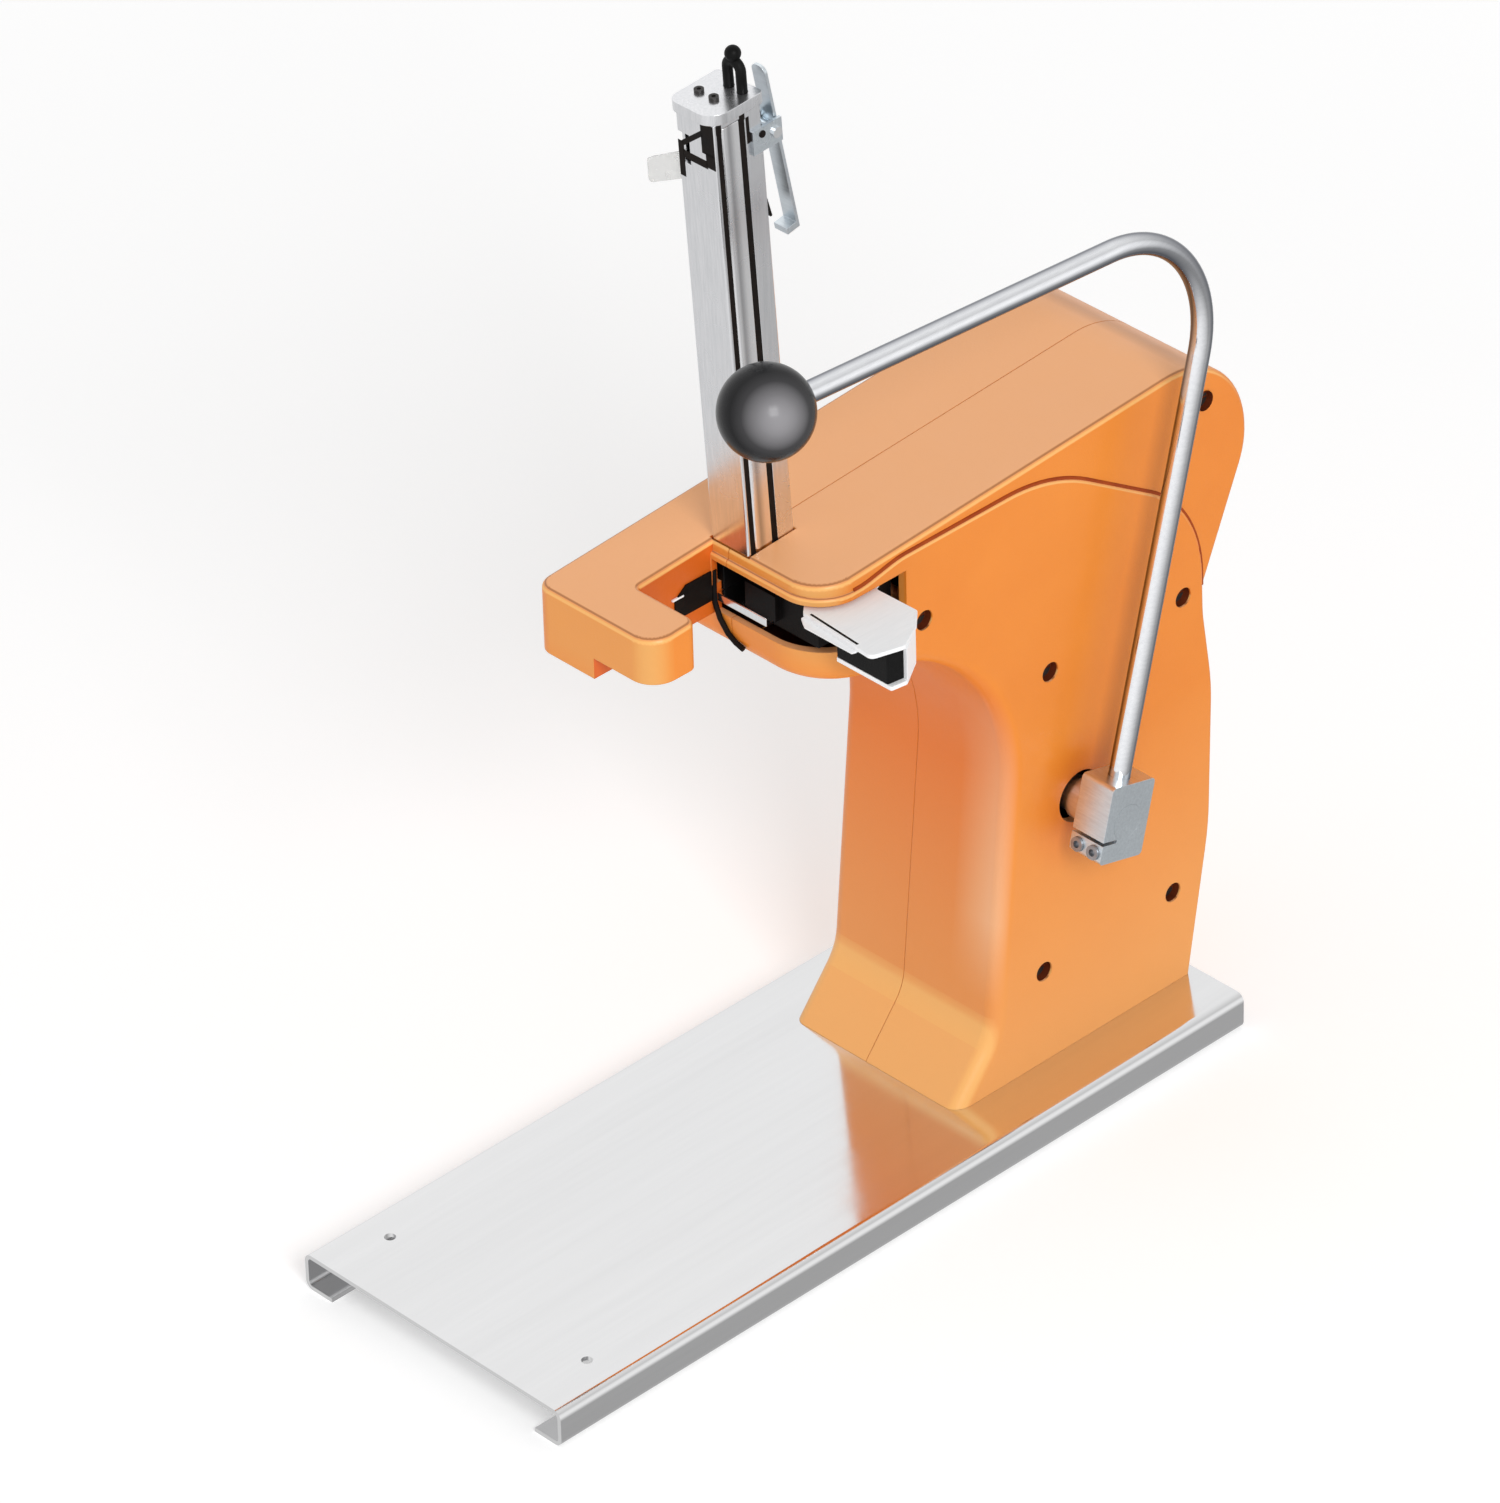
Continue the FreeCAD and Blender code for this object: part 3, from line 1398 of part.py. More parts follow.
def build():
    shell = housing_shell()
    nodes = {
        "base_plate": base_plate(),
        "foot_bolts": foot_bolts(),
        "foot_nuts": foot_nuts(),
        "housing_left": housing_left(shell),
        "housing_right": housing_right(shell),
        "housing_screws_left": side_screw_set(-1),
        "housing_screws_right": side_screw_set(1),
        "frame_plate_left": frame_plate_left(),
        "frame_plate_right": frame_plate_right(),
        "frame_spacers": frame_spacers(),
        "frame_screws": frame_screws(),
        "shaft_bush_left": shaft_bush(plate_left[0], plate_left[1], -1),
        "shaft_bush_right": shaft_bush(plate_right[0], plate_right[1], 1),
        "spring_anchor_pin": spring_anchor(),
        "drive_shaft": drive_shaft(),
        "shaft_ring": shaft_ring(),
        "clamp_block": clamp_block(),
        "clamp_screws": clamp_screws(),
        "handle_rod": handle_rod(),
        "ball_knob": ball_knob(),
        "crank_arm": crank_arm(),
        "crank_pin": crank_pin(),
        "crank_roller": crank_roller(),
        "crank_spring_pin": spring_pin(),
        "return_spring": return_spring(),
        "ram_bar": ram_bar(),
        "ram_tip": ram_tip(),
        "track_left": track_left(),
        "track_right": track_right(),
        "track_floor": track_floor(),
        "track_cover": track_cover(),
        "track_screws": track_screws(),
        "anvil": anvil(),
        "anvil_screws": anvil_screws(),
        "magazine_channel": magazine_channel(),
        "magazine_rail": magazine_rail(),
        "magazine_cap": magazine_cap(),
        "cap_screws": cap_screws(),
        "top_loop": top_loop(),
        "magazine_foot": magazine_foot(),
        "magazine_foot_screws": magazine_foot_screws(),
        "clip_stick": clip_stick(),
        "follower_weight": follower(),
        "latch_bracket": latch_bracket(),
        "latch_pin": latch_pin(),
        "latch_lever": latch_lever(),
        "refill_flag": refill_flag(),
        "trim_lever": trim_lever(),
        "lever_grip": lever_grip(),
        "trim_blade": trim_blade(),
        "blade_screws": blade_screws(),
        "lever_pin": lever_pin(),
        "lever_spring": lever_spring(),
    }
    return nodes


os.makedirs("parts", exist_ok=True)
for node_name, node_shape in build().items():
    save(node_name, node_shape)
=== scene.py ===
import json
import math

import bmesh
import bpy
from mathutils import Matrix, Vector

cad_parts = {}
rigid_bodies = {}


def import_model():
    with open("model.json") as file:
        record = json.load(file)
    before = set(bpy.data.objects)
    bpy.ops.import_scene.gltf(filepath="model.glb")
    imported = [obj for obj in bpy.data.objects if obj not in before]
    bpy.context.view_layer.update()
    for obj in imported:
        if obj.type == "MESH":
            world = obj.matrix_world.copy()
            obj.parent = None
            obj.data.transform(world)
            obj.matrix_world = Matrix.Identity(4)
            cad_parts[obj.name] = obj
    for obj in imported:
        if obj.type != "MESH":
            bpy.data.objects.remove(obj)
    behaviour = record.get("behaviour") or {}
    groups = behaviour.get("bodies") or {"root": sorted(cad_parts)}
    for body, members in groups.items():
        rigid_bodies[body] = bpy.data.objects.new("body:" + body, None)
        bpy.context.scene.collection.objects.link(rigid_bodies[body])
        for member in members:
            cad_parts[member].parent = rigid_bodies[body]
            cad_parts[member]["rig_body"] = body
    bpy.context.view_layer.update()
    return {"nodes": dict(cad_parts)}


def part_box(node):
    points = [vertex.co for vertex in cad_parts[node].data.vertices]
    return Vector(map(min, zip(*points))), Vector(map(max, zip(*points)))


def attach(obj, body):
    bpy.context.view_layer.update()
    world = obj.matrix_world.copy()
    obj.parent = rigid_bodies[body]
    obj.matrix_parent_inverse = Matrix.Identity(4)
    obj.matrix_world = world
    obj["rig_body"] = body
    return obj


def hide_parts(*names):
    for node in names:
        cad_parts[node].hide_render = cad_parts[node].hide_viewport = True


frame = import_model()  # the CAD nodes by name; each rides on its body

nodes = frame["nodes"]
scene = bpy.context.scene
print("frame loaded,", len(nodes), "nodes")


# helpers for materials

def startMaterial(name, colour, metal, rough):
    material = bpy.data.materials.new(name)
    material.use_nodes = True
    tree = material.node_tree
    shader = tree.nodes["Principled BSDF"]
    shader.inputs["Base Color"].default_value = (*colour, 1)
    shader.inputs["Metallic"].default_value = metal
    shader.inputs["Roughness"].default_value = rough
    return material, tree, shader


def onPiece(tree, scale=(1, 1, 1), turn=(0, 0, 0)):
    # the piece's own coordinates, in metres, stretched for grain or brushing
    place = tree.nodes.new("ShaderNodeTexCoord")
    mapping = tree.nodes.new("ShaderNodeMapping")
    mapping.inputs["Scale"].default_value = scale
    mapping.inputs["Rotation"].default_value = turn
    tree.links.new(place.outputs["Object"], mapping.inputs["Vector"])
    return mapping.outputs["Vector"]


def along(tree, axis, turn=(0, 0, 0)):
    split = tree.nodes.new("ShaderNodeSeparateXYZ")
    tree.links.new(onPiece(tree, turn=turn), split.inputs["Vector"])
    return split.outputs[axis]


def noiseOn(tree, size, detail=3.0, rough=0.55, stretch=(1, 1, 1)):
    noise = tree.nodes.new("ShaderNodeTexNoise")
    noise.inputs["Scale"].default_value = size
    noise.inputs["Detail"].default_value = detail
    noise.inputs["Roughness"].default_value = rough
    tree.links.new(onPiece(tree, stretch), noise.inputs["Vector"])
    return noise.outputs["Fac"]


def drawnLines(tree, stretch):
    # fine lines of a drawn or brushed metal: noise stretched along one direction
    return noiseOn(tree, size=100, detail=6, rough=0.75, stretch=stretch)


def calculate(tree, kind, operation, *sources):
    # a Math or VectorMath node; each source is another node's output or a constant
    node = tree.nodes.new(kind)
    node.operation = operation
    for socket, source in zip(node.inputs, sources):
        if isinstance(source, bpy.types.NodeSocket):
            tree.links.new(source, socket)
        else:
            socket.default_value = source
    return node.outputs["Value"]


def times(tree, first, second):
    return calculate(tree, "ShaderNodeMath", "MULTIPLY", first, second)


def spread(tree, value, low, high, start=0.3, stop=0.7):
    # takes start..stop of a value to low..high; the defaults are a noise's middle values
    node = tree.nodes.new("ShaderNodeMapRange")
    node.inputs["From Min"].default_value = start
    node.inputs["From Max"].default_value = stop
    node.inputs["To Min"].default_value = low
    node.inputs["To Max"].default_value = high
    tree.links.new(value, node.inputs["Value"])
    return node.outputs["Result"]


def facing(tree, way, start, stop, bothSides=False):
    # 0 to 1 as a surface turns towards one direction of the room
    geometry = tree.nodes.new("ShaderNodeNewGeometry")
    value = calculate(tree, "ShaderNodeVectorMath", "DOT_PRODUCT",
                      geometry.outputs["Normal"], Vector(way).normalized())
    if bothSides:
        value = calculate(tree, "ShaderNodeMath", "ABSOLUTE", value)
    return spread(tree, value, 0, 1, start, stop)


def stops(tree, value, marks):
    # value 0..1 through a few marks (place, level)
    ramp = tree.nodes.new("ShaderNodeValToRGB")
    elements = ramp.color_ramp.elements
    while len(elements) < len(marks):
        elements.new(0.5)
    for element, (place, level) in zip(elements, marks):
        element.position = place
        element.color = (level, level, level, 1)
    tree.links.new(value, ramp.inputs["Fac"])
    return ramp.outputs["Color"]


def twoTone(tree, value, first, second, start=0.32, stop=0.68):
    ramp = tree.nodes.new("ShaderNodeValToRGB")
    elements = ramp.color_ramp.elements
    for element, place, colour in zip(elements, (start, stop), (first, second)):
        element.position = place
        element.color = (*colour, 1)
    tree.links.new(value, ramp.inputs["Fac"])
    return ramp.outputs["Color"]


def blendColours(tree, share, first, second):
    # first and second are colours or a node's colour output
    mix = tree.nodes.new("ShaderNodeMix")
    mix.data_type = "RGBA"
    tree.links.new(share, mix.inputs["Factor"])
    for name, colour in (("A", first), ("B", second)):
        socket = next(i for i in mix.inputs if i.name == name and i.type == "RGBA")
        if isinstance(colour, tuple):
            socket.default_value = (*colour, 1)
        else:
            tree.links.new(colour, socket)
    return next(o for o in mix.outputs if o.type == "RGBA")


def bumpFrom(tree, shader, value, height, edge=0.0):
    # edge: how far the shading of sharp edges is rounded, in metres
    bump = tree.nodes.new("ShaderNodeBump")
    bump.inputs["Distance"].default_value = height
    bump.inputs["Strength"].default_value = 1.0
    tree.links.new(value, bump.inputs["Height"])
    if edge:
        rounding = tree.nodes.new("ShaderNodeBevel")
        rounding.samples = 4
        rounding.inputs["Radius"].default_value = edge
        tree.links.new(rounding.outputs["Normal"], bump.inputs["Normal"])
    tree.links.new(bump.outputs["Normal"], shader.inputs["Normal"])


def smudged(tree, shader, low, high):
    # roughness that wanders as handled metal's does
    smudge = noiseOn(tree, size=26, detail=4, rough=0.6)
    tree.links.new(spread(tree, smudge, low, high), shader.inputs["Roughness"])


# the finishes

def orangeMoulding():
    # beyond light and deep, these tones are painted light and shade
    look = dict(light=(0.90, 0.275, 0.024), deep=(0.84, 0.235, 0.016), topSheen=(0.98, 0.465, 0.20),
                shaded=(0.80, 0.19, 0.014), slot=(0.72, 0.14, 0.012), nose=(0.81, 0.42, 0.12),
                rimLit=(0.98, 0.50, 0.15), rimDark=(0.50, 0.19, 0.06), inside=(0.035, 0.008, 0.004),
                paintedBounce=(0.98, 0.48, 0.15), glow=(0.98, 0.60, 0.34),
                rough=0.36, smoother=0.05, rougher=0.07, grain=0.00008, edge=0.0006,
                shine=1.46, coat=0.1, coatRough=0.2)
    # where a tone begins and ends: its level at the two places, then the places in metres
    look["up"] = dict(underArm=(1, 0, 0.250, 0.262), nose=(0, 0.8, 0.262, 0.288),
                      foot=(0.62, 0, 0.02, 0.17), column=(0, 1, 0.05, 0.25), gap=(0, 1, 0.22, 0.30))
    look["across"] = dict(nose=(1, 0, 0.0425, 0.0440), edge=(0, 0.6, 0.016, 0.036),
                          slot=(1, 0, -0.0190, -0.0170))
    look["fromShaft"] = (0.6, 0, 0.014, 0.036)
    # which way a tone's surfaces face, and how nearly
    look["ways"] = dict(front=((0.1, -1, 0), 0.35, 0.95), nose=((0.6, -0.8, 0), 0.6, 1.0),
                        right=((1, 0, 0), 0.4, 0.9), up=((0, 0, 1), 0, 1),
                        notBack=((0, -1, 0), -0.5, -0.2))
    look["marks"] = dict(edgeGlow=[(0.05, 0), (0.25, 1), (0.6, 0.6), (0.85, 0)],
                         top=[(0.5, 0), (0.95, 1)],
                         rimLit=[(0.1, 0), (0.3, 1), (0.6, 1), (0.72, 0)],
                         rimDark=[(0.76, 0), (0.83, 1), (0.93, 1), (0.985, 0)],
                         gapFacing=[(0.7, 0), (0.85, 1)],
                         gap=[(0.1, 0), (0.2, 1), (0.61, 1), (0.7, 0)])
    material, tree, shader = startMaterial("orangeMoulding", look["light"], metal=0,
                                           rough=look["rough"])

    def byHeight(name):
        return spread(tree, along(tree, "Z"), *look["up"][name])

    def byWidth(name):
        return spread(tree, along(tree, "X"), *look["across"][name])

    def turnedTo(name):
        return facing(tree, *look["ways"][name])

    def marked(value, name):
        return stops(tree, value, look["marks"][name])

    cloud = noiseOn(tree, size=9, detail=4)
    colour = twoTone(tree, cloud, look["light"], look["deep"])
    front, rightSide = turnedTo("front"), turnedTo("right")
    level, notBack = turnedTo("up"), turnedTo("notBack")
    # painted shade: deeper orange on the front faces under the arm
    underArm = times(tree, front, byHeight("underArm"))
    colour = blendColours(tree, underArm, colour, look["shaded"])
    # painted light: a paler, yellower front on the nose
    noseFront = times(tree, turnedTo("nose"), byWidth("nose"))
    colour = blendColours(tree, times(tree, noseFront, byHeight("nose")), colour, look["nose"])
    # painted light: paler low down on the column, as if lit by the base plate
    colour = blendColours(tree, byHeight("foot"), colour, look["paintedBounce"])  # lit by the base plate
    # painted reflection: a pale band down the right of the column's front
    edgeGlow = times(tree, marked(byHeight("column"), "edgeGlow"), byWidth("edge"))
    colour = blendColours(tree, times(tree, front, edgeGlow), colour, look["glow"])
    # painted shade: darker on the right-facing side close around the shaft, beside the clamp block
    low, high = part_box("drive_shaft")
    shaftLine = (0, (low.y + high.y) / 2, (low.z + high.z) / 2)
    fromShaft = calculate(tree, "ShaderNodeVectorMath", "DISTANCE",
                          onPiece(tree, (0, 1, 1)), shaftLine)
    shadeBesideBlock = times(tree, spread(tree, fromShaft, *look["fromShaft"]), rightSide)
    colour = blendColours(tree, shadeBesideBlock, colour, look["shaded"])  # deeper by the clamp block
    # painted shade on the slot's inner wall, which faces right
    colour = blendColours(tree, times(tree, rightSide, byWidth("slot")), colour, look["slot"])
    # painted sheen: the shell turns paler where it faces up
    colour = blendColours(tree, marked(level, "top"), colour, look["topSheen"])  # paler on top
    # painted highlight and painted shade along the rounded top edges: a lit band, then a dark line
    # next to the flat top
    for rim in ("rimLit", "rimDark"):
        colour = blendColours(tree, times(tree, marked(level, rim), notBack), colour, look[rim])
    # painted shade: near black on the upward faces of the floor behind the lip
    gapFloorShade = times(tree, marked(level, "gapFacing"), marked(byHeight("gap"), "gap"))
    colour = blendColours(tree, gapFloorShade, colour, look["inside"])  # the floor behind the lip
    tree.links.new(colour, shader.inputs["Base Color"])
    rubbed = spread(tree, noiseOn(tree, size=60, detail=5, rough=0.7),
                    look["rough"] - look["smoother"], look["rough"] + look["rougher"])
    tree.links.new(rubbed, shader.inputs["Roughness"])
    bumpFrom(tree, shader, noiseOn(tree, size=900, detail=2), look["grain"], look["edge"])
    shader.inputs["IOR"].default_value = look["shine"]
    shader.inputs["Coat Weight"].default_value = look["coat"]
    shader.inputs["Coat Roughness"].default_value = look["coatRough"]
    return material


def brushedMetal(name, bright, dull, low, high, stretch, height):
    material, tree, shader = startMaterial(name, bright, metal=1, rough=low)
    lines = drawnLines(tree, stretch)
    tree.links.new(twoTone(tree, lines, bright, dull), shader.inputs["Base Color"])
    smudged(tree, shader, low, high)
    bumpFrom(tree, shader, lines, height)
    return material


def chromedRod():
    # painted reflection: dark where the bar turns away from the lit side of the room, bright where
    # it faces it
    look = dict(bright=(0.90, 0.91, 0.93), worn=(0.80, 0.81, 0.84), dark=(0.13, 0.14, 0.17),
                sheenFrom=(0.60, -0.55, 0.60), sheenStart=0.40, sheenFull=0.76, low=0.06, high=0.14,
                stretch=(6, 1, 6), height=0.000002)
    material, tree, shader = startMaterial("chromedRod", look["bright"], metal=1, rough=look["low"])
    lines = drawnLines(tree, look["stretch"])
    polished = twoTone(tree, lines, look["bright"], look["worn"])
    lit = facing(tree, look["sheenFrom"], look["sheenStart"], look["sheenFull"], bothSides=True)
    tree.links.new(blendColours(tree, lit, look["dark"], polished), shader.inputs["Base Color"])
    smudged(tree, shader, look["low"], look["high"])
    bumpFrom(tree, shader, lines, look["height"])
    return material


def glossyBlack():
    # painted highlight: the base colour turns grey where the ball faces up, right and forward
    look = dict(black=(0.006, 0.006, 0.007), worn=(0.013, 0.013, 0.014), sheen=(0.30, 0.293, 0.306),
                sheenFrom=(0.80, -0.43, 0.42), sheenStart=0.50,
                sheenMarks=[(0, 0), (0.45, 0.13), (0.8, 0.62), (1, 1)],
                low=0.16, high=0.28, height=0.00002, shine=1.25)
    material, tree, shader = startMaterial("glossyBlack", look["black"], metal=0, rough=look["low"])
    marks = noiseOn(tree, size=140, detail=6, rough=0.7)
    tree.links.new(spread(tree, marks, look["low"], look["high"]), shader.inputs["Roughness"])
    colour = twoTone(tree, noiseOn(tree, size=30, detail=4), look["black"], look["worn"])
    lit = stops(tree, facing(tree, look["sheenFrom"], look["sheenStart"], 1.0), look["sheenMarks"])
    tree.links.new(blendColours(tree, lit, colour, look["sheen"]), shader.inputs["Base Color"])
    bumpFrom(tree, shader, noiseOn(tree, size=350, detail=2), look["height"])
    shader.inputs["IOR"].default_value = look["shine"]
    return material


def mattBlack(name, light, dark, rough, shine=1.45):
    look = dict(smoother=0.08, rougher=0.1, grain=0.00012)
    material, tree, shader = startMaterial(name, dark, metal=0, rough=rough)
    shader.inputs["IOR"].default_value = shine
    cloud = noiseOn(tree, size=90, detail=5, rough=0.65)
    tree.links.new(twoTone(tree, cloud, dark, light), shader.inputs["Base Color"])
    wandering = spread(tree, cloud, rough - look["smoother"], rough + look["rougher"])
    tree.links.new(wandering, shader.inputs["Roughness"])
    bumpFrom(tree, shader, noiseOn(tree, size=1400, detail=2), look["grain"])
    return material


def railStrip():
    # drawn bar with painted shade along it for a shallow trough, which leans with the magazine
    look = dict(bright=(0.97, 0.97, 0.98), dull=(0.90, 0.90, 0.92), troughShade=(0.50, 0.50, 0.51),
                lean=3.5, front=-0.00757, back=0.00203, stretch=(9, 9, 0.25), low=0.2, high=0.32,
                height=0.000003,
                troughShadeMarks=[(0.2, 0), (0.38, 1), (0.46, 0.9), (0.7, 0.12), (0.88, 0)])
    material, tree, shader = startMaterial("railStrip", look["bright"], metal=1, rough=look["low"])
    lines = drawnLines(tree, look["stretch"])
    drawn = twoTone(tree, lines, look["bright"], look["dull"])
    depth = along(tree, "Y", (math.radians(-look["lean"]), 0, 0))
    troughShadeShare = stops(tree, spread(tree, depth, 0, 1, look["front"], look["back"]), look["troughShadeMarks"])
    tree.links.new(blendColours(tree, troughShadeShare, drawn, look["troughShade"]), shader.inputs["Base Color"])
    smudged(tree, shader, look["low"], look["high"])
    bumpFrom(tree, shader, lines, look["height"])
    return material


def satinSheet():
    look = dict(light=(0.97, 0.98, 0.99), worn=(0.91, 0.92, 0.93), low=0.36, high=0.5,
                height=0.000006)
    material, tree, shader = startMaterial("satinSheet", look["light"], metal=0, rough=look["low"])
    lines = noiseOn(tree, size=120, detail=6, rough=0.7, stretch=(6, 0.5, 1))
    tree.links.new(twoTone(tree, lines, look["light"], look["worn"]), shader.inputs["Base Color"])
    tree.links.new(spread(tree, lines, look["low"], look["high"]), shader.inputs["Roughness"])
    bumpFrom(tree, shader, lines, look["height"])
    return material


def clearMoulding():
    look = dict(tint=(0.90, 0.90, 0.89), low=0.14, high=0.3, clear=0.45, shine=1.46, height=0.00005)
    material, tree, shader = startMaterial("clearMoulding", look["tint"], metal=0,
                                           rough=look["low"])
    marks = noiseOn(tree, size=220, detail=4)
    tree.links.new(spread(tree, marks, look["low"], look["high"]), shader.inputs["Roughness"])
    shader.inputs["Transmission Weight"].default_value = look["clear"]
    shader.inputs["IOR"].default_value = look["shine"]
    bumpFrom(tree, shader, marks, look["height"])
    return material


def bronze():
    look = dict(light=(0.66, 0.46, 0.2), dark=(0.38, 0.24, 0.1), rough=0.34, height=0.0001)
    material, tree, shader = startMaterial("bronze", look["light"], metal=1, rough=look["rough"])
    pores = noiseOn(tree, size=1500, detail=4, rough=0.8)
    tree.links.new(twoTone(tree, pores, look["light"], look["dark"]), shader.inputs["Base Color"])
    bumpFrom(tree, shader, pores, look["height"])
    return material


# name, bright and dull tone, lowest and highest roughness, stretch of the lines, their depth
metals = {
    "base": ("polishedBase", (0.80, 0.80, 0.805), (0.76, 0.76, 0.765), 0.05, 0.14,
             (0.5, 0.02, 0.5), 0.000004),
    "block": ("milledBlock", (0.76, 0.82, 0.86), (0.62, 0.67, 0.71), 0.26, 0.38,
              (1, 8, 8), 0.00001),
    "aluminium": ("drawnAluminium", (0.86, 0.86, 0.88), (0.74, 0.75, 0.77), 0.20, 0.33,
                  (9, 9, 0.25), 0.000003),
    "bright": ("brightSheet", (0.90, 0.90, 0.91), (0.82, 0.83, 0.84), 0.12, 0.22,
               (8, 0.6, 1), 0.00001),
    "tool": ("groundSteel", (0.55, 0.55, 0.56), (0.42, 0.42, 0.43), 0.22, 0.36,
             (8, 1, 8), 0.00002),
    "plate": ("platedSheet", (0.50, 0.51, 0.53), (0.38, 0.39, 0.41), 0.32, 0.48,
              (1, 3, 3), 0.00003),
    "fastener": ("platedScrew", (0.42, 0.43, 0.45), (0.30, 0.31, 0.33), 0.26, 0.42,
                 (4, 4, 4), 0.00002),
    "spring": ("springWire", (0.52, 0.53, 0.55), (0.36, 0.37, 0.39), 0.2, 0.34,
               (6, 6, 1), 0.00001),
}
# name, light and dark tone, roughness, and how much it shines where that is less than usual
matts = {
    # dark screw heads, which add painted shade to the housing's deep screw holes
    "darkScrew": ("darkScrewHeads", (0.035, 0.03, 0.028), (0.012, 0.010, 0.010), 0.42),
    "oxide": ("blackOxide", (0.006, 0.005, 0.005), (0.002, 0.002, 0.002), 0.42, 1.18),
    # black: the colour of dark parts, and painted shade on the magazine
    "blackAndPaintedShade": ("blackAndPaintedShadeMatt", (0.012, 0.008, 0.006), (0.004, 0.003, 0.003), 0.6, 1.2),
    # painted shade inside the screw holes
    "hole": ("holeShade", (0.16, 0.030, 0.008), (0.09, 0.016, 0.005), 0.6, 1.2),
    # painted shade in the panel's groove
    "grooveShade": ("grooveShade", (0.42, 0.075, 0.014), (0.33, 0.05, 0.010), 0.6, 1.2),
    "grip": ("gripMoulding", (0.008, 0.008, 0.008), (0.003, 0.003, 0.003), 0.46, 1.2),
    "follower": ("greyMoulding", (0.20, 0.20, 0.21), (0.13, 0.13, 0.14), 0.5),
}
finish = dict(orange=orangeMoulding(), chrome=chromedRod(), ball=glossyBlack(), rail=railStrip(),
              satin=satinSheet(), clear=clearMoulding(), bronze=bronze())
finish.update({finishName: brushedMetal(*values) for finishName, values in metals.items()})
finish.update({finishName: mattBlack(*values) for finishName, values in matts.items()})

finishOfNode = {
    "orange": ["housing_left", "housing_right"],
    "base": ["base_plate"],
    "chrome": ["handle_rod"],
    "ball": ["ball_knob"],
    "aluminium": ["magazine_channel", "magazine_cap", "clip_stick"],
    "rail": ["magazine_rail"],
    "satin": ["trim_lever", "trim_blade", "blade_screws"],
    "bright": ["track_floor", "latch_pin"],
    "block": ["clamp_block", "drive_shaft", "latch_lever", "latch_bracket"],
    "grip": ["lever_grip", "top_loop"],
    "oxide": ["track_left", "track_right", "track_cover", "magazine_foot"],
    "tool": ["anvil", "ram_bar", "ram_tip", "crank_roller", "crank_pin"],
    "plate": ["frame_plate_left", "frame_plate_right", "frame_spacers", "crank_arm"],
    "fastener": ["foot_bolts", "foot_nuts", "frame_screws", "track_screws", "anvil_screws",
                 "clamp_screws", "magazine_foot_screws", "lever_pin", "shaft_ring",
                 "crank_spring_pin", "spring_anchor_pin"],
    "darkScrew": ["housing_screws_left", "housing_screws_right", "cap_screws"],
    "bronze": ["shaft_bush_left", "shaft_bush_right"],
    "spring": ["return_spring", "lever_spring"],
    "follower": ["follower_weight"],
    "clear": ["refill_flag"],
}

for finishName, dressed in finishOfNode.items():
    for nodeName in dressed:
        materialSlots = nodes[nodeName].data.materials
        materialSlots.clear()
        materialSlots.append(finish[finishName])
undressed = sorted(set(nodes) - {n for names in finishOfNode.values() for n in names})
print("materials given; without one:", undressed)


# helpers for pieces, which are in metres

weldGap = 0.000002  # points nearer than this are one point
quarterTurn = Matrix.Rotation(math.radians(90), 4, "Y")


def addPiece(shape, name, body, finishName, smoothAngle=35):
    # a finished bmesh becomes an object at the origin that rides on a body
    mesh = bpy.data.meshes.new(name)
    shape.to_mesh(mesh)
    shape.free()
    piece = bpy.data.objects.new(name, mesh)
    scene.collection.objects.link(piece)
    mesh.materials.append(finish[finishName])
    mesh.shade_smooth()
    mesh.set_sharp_from_angle(angle=math.radians(smoothAngle))
    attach(piece, body)
    return piece


def copyOf(nodeName):
    # a CAD node's triangles, merged, in a bmesh of its own
    shape = bmesh.new()
    shape.from_mesh(nodes[nodeName].data)
    bmesh.ops.remove_doubles(shape, verts=shape.verts, dist=weldGap)
    return shape


def middleOf(nodeName):
    low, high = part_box(nodeName)
    return (low + high) / 2


def only(kind, geometry):
    return [g for g in geometry if isinstance(g, kind)]


def everyPart(shape):
    return list(shape.verts) + list(shape.edges) + list(shape.faces)


def sharpEdges(shape, angle):
    limit = math.radians(angle)
    return [e for e in shape.edges if len(e.link_faces) == 2 and e.calc_face_angle(0) > limit]


def breakEdges(shape, edges, width, steps, clamp=True):
    bmesh.ops.bevel(shape, geom=edges, offset=width, offset_type="OFFSET", segments=steps,
                    profile=0.5, affect="EDGES", clamp_overlap=clamp, material=-1)


def softCopy(nodeName, finishName, width):
    # the same solid with its edges broken, as real edges are
    look = dict(sharperThan=30, steps=2, flatWithin=0.5, smooth=50)
    shape = copyOf(nodeName)
    bmesh.ops.dissolve_limit(shape, angle_limit=math.radians(look["flatWithin"]), verts=shape.verts,
                             edges=shape.edges)
    breakEdges(shape, sharpEdges(shape, look["sharperThan"]), width, look["steps"])
    piece = addPiece(shape, nodeName + "_soft", nodes[nodeName]["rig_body"], finishName,
                     look["smooth"])
    weighted = piece.modifiers.new("Weighted", "WEIGHTED_NORMAL")
    weighted.keep_sharp = True
    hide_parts(nodeName)


